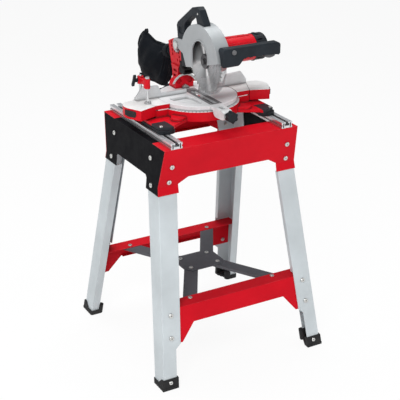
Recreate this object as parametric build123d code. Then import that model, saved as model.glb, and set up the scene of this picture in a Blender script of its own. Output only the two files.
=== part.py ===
from build123d import *
import math
import os

os.makedirs("parts", exist_ok=True)

# Mitre saw on a splayed steel stand. Millimetres, Z up, floor centre at the origin,
# the operator stands on the -Y side and the long red aprons run along X.

# Stand, driving dimensions
TOP_H = 790.0             # height of the top flanges
TOP_HX = 244.5            # half length over the end panels, at the top
TOP_HY = 223.5            # half depth over the aprons, at the top
SHEET = 2.0               # apron, panel and strut sheet
LEG_T = 2.5               # pressed leg sheet
APRON_FLANGE = 86.0       # width of the apron's top flange
CREASE_DROP = 131.0       # the apron leans inward down to this crease
CREASE_IN = 30.0
LIP = 27.0                # leg tabs below the crease
APRON_MID = 109.0         # height of the apron between its tabs
LEG_LEAN_X = 0.0849       # outward lean of the legs, mm per mm of drop
LEG_LEAN_Y = 0.1956
LEG_W = 66.0              # leg flange along X
LEG_D = 73.0              # leg flange along Y
LEG_D_FOOT = 62.0         # the same flange at the foot
LEG_RETURN = 16.0         # return lip along the flange on X
LEG_HEM = 28.0            # return lip along the flange on Y
LEG_NIP = 17.0            # the flange along X narrows by this much above the foot
STRUT_Z = 262.0           # top of the two cross struts
STRUT_FLANGE = 55.0
STRUT_MID = 59.0
STRUT_TAB = 117.0
BRACE_END = (TOP_HX - 84.5, TOP_HY + 2.5)
BRACE_HUB = (53.0, 39.0)
BRACE_W = 48.0
BRACE_LIP = 9.0
FOOT_H = 36.0
RAIL_X = 203.0
RAIL_W = 40.0
RAIL_H = 20.0
RAIL_BOLT_Y = TOP_HY - 43.5
BOLT_R = 4.0
BOLT_FIT = 0.2

# Saw base and table
RAIL_TOP = TOP_H + RAIL_H
TABLE_RISE = 61.0         # saw table above the rails
TABLE_Z = RAIL_TOP + TABLE_RISE
CY = 15.0                 # turntable centre, on x = 0
R_T = 134.0               # turntable
R_B = 141.0               # ring of the base casting
RING_CUT = 28.0           # the ring is open behind this line, for the swinging arm
CAP_H = 12.0
PLATE_Z = RAIL_TOP + CAP_H
DISC_T = 12.0
PAD_GAP = 0.3             # sliding faces of different bodies stay this far apart
HUB_R = 12.0
RUN_FIT = 0.05            # radial running clearance
FENCE_Y = 42.0
FENCE_T = 8.0
FENCE_TOP = TABLE_Z + 44.0
FENCE_IN = 118.0
FENCE_OUT = 207.5
BAR_IN = 24.0
ROD_R = 4.5
ROD_Y = (-8.0, 36.0)
ROD_Z = TABLE_Z - 28.0
SUPPORT_Z = TABLE_Z - 35.0
CLAMP = (-187.0, 5.0)
CLAMP_Z = TABLE_Z + 50.0     # underside of the clamp arm
CLAMP_POST_Y = 56.0

# Bevel, arm and head
BRACKET_Y = 100.0
BRACKET_T = 10.0
BEVEL_R = 34.0
SCALE_R = 50.0
BLADE_R = 105.0
BLADE_T = 2.4
TEETH = 48
BLADE_CLEAR = 21.0        # blade over the table, head as shown
PIVOT = (112.0, TABLE_Z + BLADE_R + 42.0)          # chop hinge (y, z)
ARM_TOP_HX = 14.0
ARM_HX = 20.0
ARBOR = (-43.0, TABLE_Z + BLADE_R + BLADE_CLEAR)   # blade axis (y, z)
LOWER_R = BLADE_R + 4.0
LOWER_HX = 13.5
LOWER_FROM = -100.0       # the lower guard's sector, from the front, turning downwards
LOWER_TO = 100.0
GUARD_WALL = 3.0
GUARD_GAP = 7.0           # lower guard to upper guard
GUARD_IN = LOWER_R + GUARD_GAP
GUARD_R = GUARD_IN + 2 * GUARD_WALL
GUARD_HX = 25.0
NOSE_R = 26.0
GEAR_M = 1.5
PINION_N = 10
GEAR_N = 46
GEAR_ANGLE = 18.0
MOTOR_R = 44.0
MOTOR_X1 = 195.0
CAP_X1 = 240.0
GRIP = (ARBOR[0] - GUARD_R + 5.0, ARBOR[1] + 50.0)
GRIP_X = (-14.0, 198.0)
BAG_NECK = (PIVOT[0] + 70.0, PIVOT[1] - 40.0)

GEAR_CD = GEAR_M * (PINION_N + GEAR_N) / 2
MOTOR = (ARBOR[0] + GEAR_CD * math.cos(math.radians(GEAR_ANGLE)),
         ARBOR[1] + GEAR_CD * math.sin(math.radians(GEAR_ANGLE)))


PARTS = {}


def save(name, *shapes):
    PARTS[name] = []
    for shape in shapes:
        PARTS[name] += list(shape.solids())


def export_all(shift):
    """Every node, moved so that the middle of the whole depth is over the origin."""
    for name, solids in PARTS.items():
        moved = [Pos(0, shift, 0) * s for s in solids]
        whole = moved[0] if len(moved) == 1 else Compound(children=moved)
        whole.label = name
        export_step(whole, "parts/" + name + ".step")


def poly(*pts):
    return make_face(Polyline(*pts, close=True))


def on_xy(sk, z0, z1):
    return extrude(Plane.XY.offset(z0) * sk, amount=z1 - z0, dir=(0, 0, 1))


def on_yz(sk, x0, x1):
    return extrude(Plane.YZ.offset(x0) * sk, amount=x1 - x0, dir=(1, 0, 0))


def on_xz(sk, y0, y1):
    return extrude(Plane.XZ.offset(-y0) * sk, amount=y1 - y0, dir=(0, 1, 0))


def disc(u, v, r):
    return Pos(u, v) * Circle(r)


def slab(u0, v0, u1, v1):
    return Pos((u0 + u1) / 2, (v0 + v1) / 2) * Rectangle(abs(u1 - u0), abs(v1 - v0))


def rod(p, n, r, d0, d1):
    """Cylinder of radius r along n from p, between the distances d0 and d1."""
    return extrude(Plane(origin=p, z_dir=n).offset(d0) * Circle(r), amount=d1 - d0)


def hull(*circles):
    edges = []
    for u, v, r in circles:
        edges += list(disc(u, v, r).edges())
    return make_hull(edges)


def shifted(pts, t):
    """The polyline moved by t to its left, with mitred bends."""
    dirs = []
    for a, b in zip(pts, pts[1:]):
        run = math.hypot(b[0] - a[0], b[1] - a[1])
        dirs.append(((b[0] - a[0]) / run, (b[1] - a[1]) / run))
    out = []
    for i, p in enumerate(pts):
        d0 = dirs[max(i - 1, 0)]
        d1 = dirs[min(i, len(pts) - 2)]
        nx = -d0[1] - d1[1]
        ny = d0[0] + d1[0]
        k = 1 + d0[0] * d1[0] + d0[1] * d1[1]
        out.append((p[0] + t * nx / k, p[1] + t * ny / k))
    return out


def band(pts, t):
    """Strip of thickness t on the left of a polyline."""
    return poly(*pts, *reversed(shifted(pts, t)))


def both_x(shape):
    return [shape, mirror(shape, about=Plane.YZ)]


def corner_copies(shape):
    """Back right, back left, front right and front left copies of a corner part."""
    left = mirror(shape, about=Plane.YZ)
    return {"br": shape, "bl": left, "fr": mirror(shape, about=Plane.XZ),
            "fl": mirror(left, about=Plane.XZ)}


def screw(r_head, h_head, r, length, nut_at=None, dome=1.2):
    """Button-head screw along local Z, its seat at z = 0, with an optional nut."""
    head = extrude(Circle(r_head), amount=h_head)
    head = chamfer(head.faces().sort_by(Axis.Z)[-1].edges(), dome)
    socket = extrude(Plane.XY.offset(h_head - 2) * RegularPolygon(r * 0.62, 6), amount=3)
    body = head - socket + extrude(Circle(r), amount=-length)
    if nut_at is not None:
        body += extrude(Plane.XY.offset(-nut_at) * RegularPolygon(r * 1.85, 6), amount=-r * 1.5)
    return body


def leg_x(z):
    return TOP_HX - SHEET + (TOP_H - z) * LEG_LEAN_X


CREASE_Z = TOP_H - CREASE_DROP
CREASE_Y = TOP_HY - CREASE_IN
TAB_Z = CREASE_Z - LIP
APRON_LINE = [(TOP_HY - APRON_FLANGE, TOP_H), (TOP_HY, TOP_H), (CREASE_Y, CREASE_Z),
              (CREASE_Y + LIP * LEG_LEAN_Y, TAB_Z)]
INNER_LINE = shifted(APRON_LINE, -SHEET)
LEG_TOP = INNER_LINE[1]
LEG_BEND = INNER_LINE[2]
LEG_Z0 = 6.0


def leg_y(z):
    return LEG_BEND[0] + (LEG_BEND[1] - z) * LEG_LEAN_Y


def leg_edge(z):
    """Free edge of the leg's side flange, which narrows a little to the foot."""
    share = (LEG_BEND[1] - z) / (LEG_BEND[1] - LEG_Z0)
    return leg_y(z) - LEG_D + (LEG_D - LEG_D_FOOT) * share


LEG_LINE = [LEG_TOP, LEG_BEND, (leg_y(LEG_Z0), LEG_Z0)]
STRUT_OFF = LEG_T * math.hypot(1, LEG_LEAN_Y)


def strut_y(z):
    return leg_y(z) - STRUT_OFF


def unit(*v):
    size = math.sqrt(sum(c * c for c in v))
    return tuple(c / size for c in v)


APRON_N = unit(0, CREASE_DROP, -CREASE_IN)
LEG_NY = unit(0, 1, LEG_LEAN_Y)
PANEL_N = unit(1, 0, LEG_LEAN_X)
STACK = SHEET + LEG_T     # every frame bolt clamps a sheet on a leg
REACH = TOP_HX + TOP_HY + TOP_H   # past every edge of the stand


def apron_y(z):
    return TOP_HY - (TOP_H - z) * CREASE_IN / CREASE_DROP


def quarter_bolts():
    """Seats and outward normals of the frame bolts at the back right corner."""
    seats = []
    for z in (TOP_H - 62.0, TOP_H - 116.0):
        seats.append(((leg_x(z) - 34, apron_y(z), z), APRON_N, "apron"))
    for y, z in ((TOP_HY - 89.5, TOP_H - 49.0), (TOP_HY - 75.5, TOP_H - 136.0)):
        seats.append(((leg_x(z) + SHEET * math.hypot(1, LEG_LEAN_X), y, z), PANEL_N, "panel"))
    for z in (STRUT_Z - 19.0, STRUT_Z - 94.0):
        seats.append(((leg_x(z) - 33, leg_y(z), z), LEG_NY, "strut"))
    return seats


def frame_holes(kind):
    cut = []
    for p, n, tag in quarter_bolts():
        if tag == kind or kind == "leg":
            cut.append(rod(p, n, BOLT_R + BOLT_FIT, -12, 12))
    return cut


def minus(shape, cutters):
    for cutter in cutters:
        shape = shape - cutter
    return shape


def make_leg():
    wide = [(leg_x(LEG_TOP[1]), LEG_TOP[1]), (leg_x(LEG_Z0), LEG_Z0),
            (leg_x(LEG_Z0) - LEG_W + LEG_NIP, LEG_Z0), (leg_x(128) - LEG_W + LEG_NIP, 128),
            (leg_x(144) - LEG_W, 144), (leg_x(LEG_TOP[1]) - LEG_W, LEG_TOP[1])]
    back = on_yz(band(LEG_LINE, -LEG_T), 0, REACH) & on_xz(poly(*wide), 0, REACH)
    y_in = leg_edge(LEG_BEND[1])
    deep = [LEG_TOP, LEG_BEND, LEG_LINE[2], (leg_edge(LEG_Z0), LEG_Z0),
            (y_in, LEG_BEND[1]), (y_in, LEG_TOP[1])]
    end_line = [(leg_x(LEG_TOP[1]), LEG_TOP[1]), (leg_x(LEG_Z0), LEG_Z0)]
    end = on_xz(band(end_line, -LEG_T), 0, REACH) & on_yz(poly(*deep), 0, REACH)
    z0, z1 = STRUT_Z + 14, TAB_Z - 4
    strip = poly((leg_x(z0) - LEG_W, z0), (leg_x(z0) - LEG_W + LEG_T, z0),
                 (leg_x(z1) - LEG_W + LEG_T, z1), (leg_x(z1) - LEG_W, z1))
    lip = on_xz(strip, 0, REACH) & on_yz(band(LEG_LINE, -LEG_RETURN), 0, REACH)
    z0 = LEG_Z0
    strip = poly((leg_edge(z0), z0), (leg_edge(z0) + LEG_T, z0),
                 (leg_edge(z1) + LEG_T, z1), (leg_edge(z1), z1))
    hem = on_yz(strip, 0, REACH) & on_xz(band(end_line, -LEG_HEM), 0, REACH)
    leg = back + end + lip + hem
    # press radius down the long outer corner
    tall = [e for e in leg.edges() if e.length > 600 and e.center().X > leg_x(e.center().Z) - 0.5
            and e.center().Y > leg_y(e.center().Z) - 0.5]
    if tall:
        leg = fillet(tall, 3.0)
    return minus(leg, frame_holes("leg") + [foot_bolt_cut()])


def foot_seat():
    z = 22.0
    return (leg_x(z) - 26, leg_y(z), z)


def foot_bolt_cut():
    return rod(foot_seat(), LEG_NY, BOLT_R, -14, 12)


def make_foot(leg):
    lean = (-LEG_LEAN_X, -LEG_LEAN_Y, 1)
    rim = 4.0
    x1, y1 = leg_x(0) + rim, leg_y(0) + rim
    wall = 12.0
    toe = y1 - rim - LEG_D_FOOT - 6.0
    x2 = x1 - rim - LEG_HEM
    cup = poly((x1, y1), (x1 - 58, y1), (x1 - 58, y1 - wall), (x1 - wall, y1 - wall),
               (x1 - wall, toe + 8), (x1, toe + 8))
    cup = cup + hull((x1 - 8, toe + 8, 8), (x2 - 5, toe + 12, 12))
    tread = make_face([Line((x1, y1), (x1 - 58, y1)), Line((x1 - 58, y1), (x1 - 58, y1 - 20)),
                       ThreePointArc((x1 - 58, y1 - 20), (x1 - 50, y1 - 38), (x2 - 5, toe + 8)),
                       Line((x2 - 5, toe + 8), (x1, toe + 8)), Line((x1, toe + 8), (x1, y1))])
    up = FOOT_H * math.hypot(1, LEG_LEAN_X, LEG_LEAN_Y)
    foot = extrude(cup, amount=up, dir=unit(*lean)) + on_xy(tread, 0, 9)
    # outside the leg the wall drops from the corner to a low rim
    skin = slab(x1 - rim, toe - 3, x1 + 3, y1 - 12) + slab(x2 + 1, toe - 3, x1, toe + 6)
    skin = extrude(skin, amount=2 * up, dir=unit(*lean))
    y2 = y1 - 14 - FOOT_H * LEG_LEAN_Y
    drop = poly((y2, 2 * FOOT_H), (y2, FOOT_H), (y1 - 40, 16), (toe - 30, 16), (toe - 30, 2 * FOOT_H))
    foot = foot - (skin & on_yz(drop, 0, REACH))
    for i in range(4):
        y = y1 - 14 - 13 * i
        foot = foot - Pos(x1 - 20, y, 0) * Box(90, 3.5, 5)
    p = foot_seat()
    n = LEG_NY
    foot = foot - rod(p, n, 8.5, 1.0, 12) - rod(p, n, BOLT_R, -14, 12)
    return foot - leg


def foot_bolts():
    one = screw(7.0, 3.5, BOLT_R, 10.0)
    seat = Plane(origin=foot_seat(), z_dir=LEG_NY).offset(1.0).location * one
    return list(corner_copies(seat).values())


def make_apron():
    e = SHEET
    mid = TOP_H - APRON_MID
    x_tab, x_mid = TOP_HX - 60.5, TOP_HX - 94.5
    shape = [(leg_x(TOP_H + 1) + e, TOP_H + 1), (leg_x(TAB_Z) + e, TAB_Z - 0.5), (x_tab, TAB_Z - 0.5),
             (x_tab, CREASE_Z + 2), (x_mid, mid)]
    outline = shape + [(-x, z) for x, z in reversed(shape)]
    plate = on_yz(band(APRON_LINE, -SHEET), -REACH, REACH) & on_xz(poly(*outline), 0, REACH)
    y = apron_y(mid)
    plate = plate + Pos(0, y - 8.5, mid + 1) * Box(2 * x_mid - 4, 15, SHEET)
    for x in (-RAIL_X, RAIL_X):
        plate = plate - Pos(x, RAIL_BOLT_Y, TOP_H) * Cylinder(BOLT_R + BOLT_FIT, 20)
    cut = []
    for hole in frame_holes("apron"):
        cut += both_x(hole)
    return minus(plate, cut)


def make_panel():
    """Right end panel between the two aprons, with its own top flange and two leg tabs."""
    z1 = TOP_H - SHEET
    mid = TOP_H - 114.0
    line = [(leg_x(z1), z1), (leg_x(TAB_Z), TAB_Z)]
    y_tab, y_mid = TOP_HY - 111.5, TOP_HY - 119.5
    half = [LEG_TOP, LEG_BEND, (leg_y(TAB_Z), TAB_Z), (y_tab, TAB_Z), (y_tab, mid - 8), (y_mid, mid)]
    outline = half + [(-y, z) for y, z in reversed(half)]
    face = on_xz(band(line, SHEET), -REACH, REACH) & on_yz(poly(*outline), 0, REACH)
    y = TOP_HY - APRON_FLANGE
    flange = on_xy(slab(leg_x(z1) - 34, -y + 0.2, leg_x(z1) + SHEET, y - 0.2), z1, TOP_H)
    hem = on_xy(slab(leg_x(mid) - 12, 2 - y_mid, leg_x(mid) + 1, y_mid - 2), mid, mid + SHEET)
    cut = []
    for hole in frame_holes("panel"):
        cut += [hole, mirror(hole, about=Plane.XZ)]
    return minus(face + flange + hem, cut)


def make_strut():
    """Back strut: pressed channel with a wide top flange and gusseted leg tabs."""
    low = STRUT_Z - STRUT_TAB
    mid = STRUT_Z - STRUT_MID
    line = [(strut_y(STRUT_Z) - STRUT_FLANGE, STRUT_Z), (strut_y(STRUT_Z), STRUT_Z),
            (strut_y(low), low)]
    gap = LEG_T + 3.5
    x_tab, x_mid = TOP_HX - 22.5, TOP_HX - 70.5
    half = [(leg_x(STRUT_Z + 1) - gap, STRUT_Z + 1), (leg_x(low) - gap, low - 0.5), (x_tab, low - 0.5),
            (x_mid, mid)]
    outline = half + [(-x, z) for x, z in reversed(half)]
    body = on_yz(band(line, -SHEET), -REACH, REACH) & on_xz(poly(*outline), 0, REACH)
    body = body + Pos(0, strut_y(mid) - SHEET - 5, mid + 1) * Box(2 * x_mid - 4, 12, SHEET)
    x, y = BRACE_END
    cut = [Pos(x, y, STRUT_Z) * Cylinder(BOLT_R + BOLT_FIT, 20)]
    cut += frame_holes("strut")
    both = []
    for hole in cut:
        both += both_x(hole)
    return minus(body, both)


def make_brace_arm():
    (x1, y1), (x0, y0) = BRACE_END, BRACE_HUB
    run = math.hypot(x1 - x0, y1 - y0)
    turn = math.degrees(math.atan2(y1 - y0, x1 - x0))
    z = STRUT_Z - SHEET
    w = BRACE_W / 2
    low = -BRACE_LIP
    prof = poly((-w, 0), (w, 0), (w, low), (w - SHEET, low), (w - SHEET, -SHEET),
                (-w + SHEET, -SHEET), (-w + SHEET, low), (-w, low))
    arm = extrude(Plane.YZ.offset(-18) * prof, amount=run + 36, dir=(1, 0, 0))
    for u in (0, run):
        arm = arm - Pos(u, 0, 0) * Cylinder(BOLT_R + BOLT_FIT, 12)
    return Location((x0, y0, z), (0, 0, turn)) * arm


def make_brace_hub():
    x, y = BRACE_HUB
    hx, hy, c = x + 26, y + 22, 26
    shape = [(hx, hy - c), (hx - c * 0.8, hy), (-hx + c * 0.8, hy), (-hx, hy - c),
             (-hx, -hy + c), (-hx + c * 0.8, -hy), (hx - c * 0.8, -hy), (hx, -hy + c)]
    z = STRUT_Z - SHEET
    hub = on_xy(poly(*shape), z, z + 2.5)
    for sx in (-1, 1):
        for sy in (-1, 1):
            hub = hub - Pos(sx * x, sy * y, z) * Cylinder(BOLT_R + BOLT_FIT, 10)
    return hub


def make_rail():
    """Aluminium T-slot rail lying across the apron flanges."""
    w, h = RAIL_W / 2, RAIL_H
    prof = slab(-w, 0, w, h) - slab(-5, h - 4, 5, h + 1) - slab(-9.5, h - 12, 9.5, h - 4)
    prof = prof - slab(-w - 1, 7, -w + 2.5, 13) - slab(w - 2.5, 7, w + 1, 13)
    prof = prof - slab(-w + 5, 2.2, -w + 9, h - 2.5) - slab(w - 9, 2.2, w - 5, h - 2.5)
    rail = on_xz(Pos(RAIL_X, TOP_H) * prof, -TOP_HY + 1, TOP_HY - 1)
    for y in (-RAIL_BOLT_Y, RAIL_BOLT_Y):
        rail = rail - Pos(RAIL_X, y, TOP_H) * Cylinder(BOLT_R, 20)
    return rail


leg = make_leg()
foot = make_foot(leg)
for tag, shape in corner_copies(leg).items():
    save("leg_" + tag, shape)
for tag, shape in corner_copies(foot).items():
    save("foot_" + tag, shape)

apron = make_apron()
save("rear_apron", apron)
save("front_apron", mirror(apron, about=Plane.XZ))
panel = make_panel()
save("right_panel", panel)
save("left_panel", mirror(panel, about=Plane.YZ))
strut = make_strut()
save("rear_strut", strut)
save("front_strut", mirror(strut, about=Plane.XZ))
save("brace_hub", make_brace_hub())
save("brace_arms", *corner_copies(make_brace_arm()).values())

one = screw(8.0, 4.0, BOLT_R, STACK + 9, nut_at=STACK)
bolts = []
for p, n, tag in quarter_bolts():
    bolts += list(corner_copies(Plane(origin=p, z_dir=n).location * one).values())
bolts += foot_bolts()

flange_bolt = screw(7.5, 3.5, BOLT_R, 13.0, nut_at=2 * SHEET)
hub_bolt = screw(7.5, 3.5, BOLT_R, 13.0, nut_at=2.5 + SHEET)
bolts += list(corner_copies(Pos(BRACE_END[0], BRACE_END[1], STRUT_Z) * flange_bolt).values())
bolts += list(corner_copies(Pos(BRACE_HUB[0], BRACE_HUB[1], STRUT_Z + 0.5) * hub_bolt).values())

rail = make_rail()
save("rail_right", rail)
save("rail_left", mirror(rail, about=Plane.YZ))
rail_bolt = screw(8.5, 5.0, BOLT_R, 18.0, nut_at=8.0 + SHEET)
bolts += list(corner_copies(Pos(RAIL_X, RAIL_BOLT_Y, TOP_H + 8) * rail_bolt).values())
save("frame_bolts", *bolts)


# Saw base casting
CAP_FRONT = ((178, -122, 20), (200, -120, 16), (203, -6, 12))
CAP_REAR = ((203, 76, 13), (198, 54, 13))
MOUNT_Y = (-118.0, 76.0)
RING_Z1 = TABLE_Z - DISC_T - 5.0
WING_EDGE = ((175.5, -31.0), (213.0, 56.0))
WING_REAR = 62.0
LOCK_Z = TABLE_Z - 14.0   # mitre lock screw
KNOB_R = 19.0
SWEEP_R = 25.0            # room for the lock knob over the front arms
TONGUE_LOW = TABLE_Z - 31.0
KNOB_LOW = LOCK_Z - SWEEP_R
SWING_GAP = 1.0


def wing_sketch():
    (xa, ya), (xb, yb) = WING_EDGE
    shape = poly((90, ya - 1.5), (xa, ya), (xb, yb), (xb, WING_REAR), (90, WING_REAR))
    return shape - disc(0, CY, R_T + 1.2)


def make_base():
    ring = disc(0, CY, R_B) & slab(-300, -300, 300, RING_CUT)
    hollow = disc(0, CY, R_B - 6) & slab(-300, -300, 300, RING_CUT - 6)
    base = on_xy(ring, PLATE_Z, RING_Z1) - on_xy(hollow, PLATE_Z - 5, RING_Z1 - 6)
    base = base + on_xy(disc(0, CY, 20), PLATE_Z, RING_Z1)
    for turn in (200, 235, 270, 305, 340):
        rib = Rot(0, 0, turn) * (Pos(76, 0, 0) * Box(128, 5, RING_Z1 - PLATE_Z - 4))
        base = base + Pos(0, CY, (RING_Z1 + PLATE_Z + 4) / 2) * rib
    wing = wing_sketch()
    core = offset(wing, amount=-5, kind=Kind.INTERSECTION)
    side = on_xy(wing, PLATE_Z + 8, TABLE_Z) - on_xy(core, PLATE_Z, TABLE_Z - 6)
    pad = hull((176, -120, 18), (200, -116, 13), (203, 76, 12), (140, 0, 20))
    side = side + on_xy(pad, PLATE_Z, PLATE_Z + 8)
    # low front arms: the tongue and its knob swing over them
    arm = hull((112, -70, 26), (180, -120, 15))
    side = side + on_xy(arm, PLATE_Z, KNOB_LOW - SWING_GAP)
    root = hull((108, -66, 26), (128, -84, 20))
    side = side + on_xy(root, PLATE_Z, TONGUE_LOW - SWING_GAP)
    side = side + Pos(CLAMP[0] * -1, CLAMP_POST_Y, TABLE_Z - 16) * Cylinder(8, 28)
    for shape in both_x(side):
        base = base + shape
    base = base - on_xy(disc(0, CY, HUB_R + RUN_FIT), PLATE_Z - 5, RING_Z1 + 5)
    for sx in (-1, 1):
        for y in ROD_Y:
            base = base - rod((sx * 94, y, ROD_Z), (sx, 0, 0), ROD_R + RUN_FIT, 0, 135)
        for y in MOUNT_Y:
            base = base - Pos(sx * RAIL_X, y, PLATE_Z) * Cylinder(3.2, 60)
        for x in (150, 202):
            base = base - Pos(sx * x, FENCE_Y + FENCE_T + 6, TABLE_Z) * Cylinder(2.5, 26)
    base = base - Pos(CLAMP[0], CLAMP_POST_Y, TABLE_Z) * Cylinder(5.0, 40)
    return base


def make_caps():
    caps = []
    for sx in (-1, 1):
        for set_ in (CAP_FRONT, CAP_REAR):
            cap = on_xy(hull(*[(sx * u, v, r) for u, v, r in set_]), RAIL_TOP, PLATE_Z)
            cap = chamfer(cap.faces().sort_by(Axis.Z)[-1].edges(), 1.5)
            y = MOUNT_Y[0] if set_ is CAP_FRONT else MOUNT_Y[1]
            caps.append(cap - Pos(sx * RAIL_X, y, PLATE_Z) * Cylinder(3.2, 60))
    return caps


def make_fence():
    """Left fence: tall sloped plate, low inner bar and a bolted foot."""
    b = TABLE_Z + 0.4
    face = poly((-FENCE_OUT, TABLE_Z), (-FENCE_OUT, TABLE_Z + 15), (-186, FENCE_TOP), (-130, FENCE_TOP - 3),
                (-FENCE_IN, TABLE_Z + 15), (-FENCE_IN, b), (-141, b), (-141, TABLE_Z))
    plate = on_xz(face, FENCE_Y, FENCE_Y + FENCE_T)
    bar = on_xz(slab(-FENCE_IN - 4, b, -BAR_IN, b + 13.6), FENCE_Y, FENCE_Y + 6)
    foot = on_xy(slab(-FENCE_OUT, FENCE_Y + 2, -141, FENCE_Y + 22), TABLE_Z, TABLE_Z + 7)
    fence = plate + bar + foot
    for x in (-176, -158, -140):
        rib = poly((FENCE_Y + FENCE_T - 1, TABLE_Z + 7), (FENCE_Y + 18, TABLE_Z + 7),
                   (FENCE_Y + FENCE_T - 1, FENCE_TOP - 12))
        fence = fence + on_yz(rib, x - 2 if x != -140 else -143, x + 2 if x != -140 else -141)
    for x in (-150, -202):
        fence = fence - Pos(x, FENCE_Y + FENCE_T + 6, TABLE_Z) * Cylinder(2.7, 40)
    fence = fence - Pos(-202, FENCE_Y + FENCE_T + 6, TABLE_Z + 12) * Cylinder(5.2, 10)
    return fence - Pos(-150, FENCE_Y + FENCE_T + 6, TABLE_Z + 12) * Cylinder(5.2, 10)


def make_support():
    """Right table extension on two rods."""
    (xa, ya), (xb, yb) = WING_EDGE
    g = 1.2
    top = make_face([Line((xa + g, ya - 1), (241, -56)), Line((241, -56), (263, -12)),
                     ThreePointArc((263, -12), (266, 26), (250, 52)),
                     Line((250, 52), (xb + g, yb)), Line((xb + g, yb), (xa + g, ya - 1))])
    core = offset(top, amount=-5, kind=Kind.INTERSECTION)
    body = on_xy(top, SUPPORT_Z, TABLE_Z) - on_xy(core, SUPPORT_Z - 1, TABLE_Z - 6)
    for y in ROD_Y:
        body = body + rod((226, y, ROD_Z), (1, 0, 0), ROD_R + 2.5, 0, 34)
        body = body - rod((90, y, ROD_Z), (1, 0, 0), ROD_R, 0, 155)
    return body


def make_rods():
    out = []
    for y in ROD_Y:
        bar = rod((100, y, ROD_Z), (1, 0, 0), ROD_R, 0, 145)
        out.append(chamfer(bar.edges(), 0.8))
    return out


base = make_base()
save("saw_base", base)
save("base_feet", *make_caps())
fence = make_fence()
hole = Pos(CLAMP[0], CLAMP_POST_Y, TABLE_Z) * Cylinder(5.0, 40)
save("fence_left", fence - hole)
save("fence_right", mirror(fence, about=Plane.YZ))
support = make_support()
rods = make_rods()
save("support_right", support, *rods)
save("support_left", mirror(support, about=Plane.YZ), *[mirror(r, about=Plane.YZ) for r in rods])

bolts = []
for sx in (-1, 1):
    for y in MOUNT_Y:
        mount = screw(6.0, 4.0, 3.2, 24.0)
        bolts.append(Pos(sx * RAIL_X, y, PLATE_Z + 8) * mount)
        # square nut held in the rail's slot
        nut = Pos(sx * RAIL_X, y, TOP_H + 12) * Box(17, 14, 7.0)
        bolts[-1] = bolts[-1] + nut
    for x in (150, 202):
        bolts.append(Pos(sx * x, FENCE_Y + FENCE_T + 6, TABLE_Z + 7) * screw(5.0, 4.0, 2.5, 16.0))
save("saw_bolts", *bolts)


# Hold-down clamp
def make_clamp():
    x, y = CLAMP
    z0, z1 = CLAMP_Z, CLAMP_Z + 32
    mid = CLAMP_Z + 16
    post = rod((x, CLAMP_POST_Y, TABLE_Z - 18), (0, 0, 1), 5.0, 0, z1 - TABLE_Z + 19)
    post = chamfer(post.faces().sort_by(Axis.Z)[-1].edges(), 1.0)
    nose = on_xy(hull((x, y, 9), (x, y + 7, 9.5)), z0, z1)
    neck = on_xy(hull((x, y, 7), (x, CLAMP_POST_Y, 7)), z0 + 9, z1 - 8)
    collar = on_xy(disc(x, CLAMP_POST_Y, 10.5), z0 + 4, z1 - 4)
    arm = nose + neck + collar
    arm = fillet(arm.faces().sort_by(Axis.Z)[-1].edges(), 2.0)
    arm = arm - Pos(x, CLAMP_POST_Y, mid) * Cylinder(5.0 + RUN_FIT, 60)
    arm = arm - Pos(x, y, mid) * Cylinder(4.5 + RUN_FIT, 60)
    arm = arm - rod((x, CLAMP_POST_Y, mid), (-1, 0, 0), 3.0 + RUN_FIT, 0, 30)
    spindle = rod((x, y, TABLE_Z + 3.5), (0, 0, 1), 4.5, 0, z1 + 7 - TABLE_Z - 3.5)
    pad = rod((x, y, TABLE_Z + 0.6), (0, 0, 1), 11.0, 0, 5)
    pad = chamfer(pad.faces().sort_by(Axis.Z)[-1].edges(), 1.5)
    hexa = on_xy(Pos(x, y) * RegularPolygon(7.5, 6), z1 + 0.6, z1 + 6)
    spindle = spindle + pad + hexa
    # wing screw on the left of the collar
    lock = rod((x - 5.1, CLAMP_POST_Y, mid), (-1, 0, 0), 3.0, 0, 22)
    hub = rod((x - 11.5, CLAMP_POST_Y, mid), (-1, 0, 0), 6.5, 0, 14)
    wings = on_yz(hull((CLAMP_POST_Y, mid, 4), (CLAMP_POST_Y - 7, mid + 16, 5)) +
                  hull((CLAMP_POST_Y, mid, 4), (CLAMP_POST_Y + 7, mid - 16, 5)), x - 27, x - 20)
    return post, arm, spindle, lock + hub + wings


post, clamp_arm, spindle_c, clamp_lock = make_clamp()
save("clamp_post", post)
save("clamp_arm", clamp_arm)
save("clamp_spindle", spindle_c)
save("clamp_lock", clamp_lock)


# Turntable, insert, mitre lock and bevel bracket
DISC_Z = TABLE_Z - DISC_T
KERF = (-6.0, 17.0, -104.0, 62.0)
INSERT = (-18.0, 26.0, -107.0, 81.0)
TONGUE_Y = -190.0
LOCK_TIP = CY - R_B - SWING_GAP   # face of the lock plug, just clear of the base ring
PLUG_L = 14.0


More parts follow.
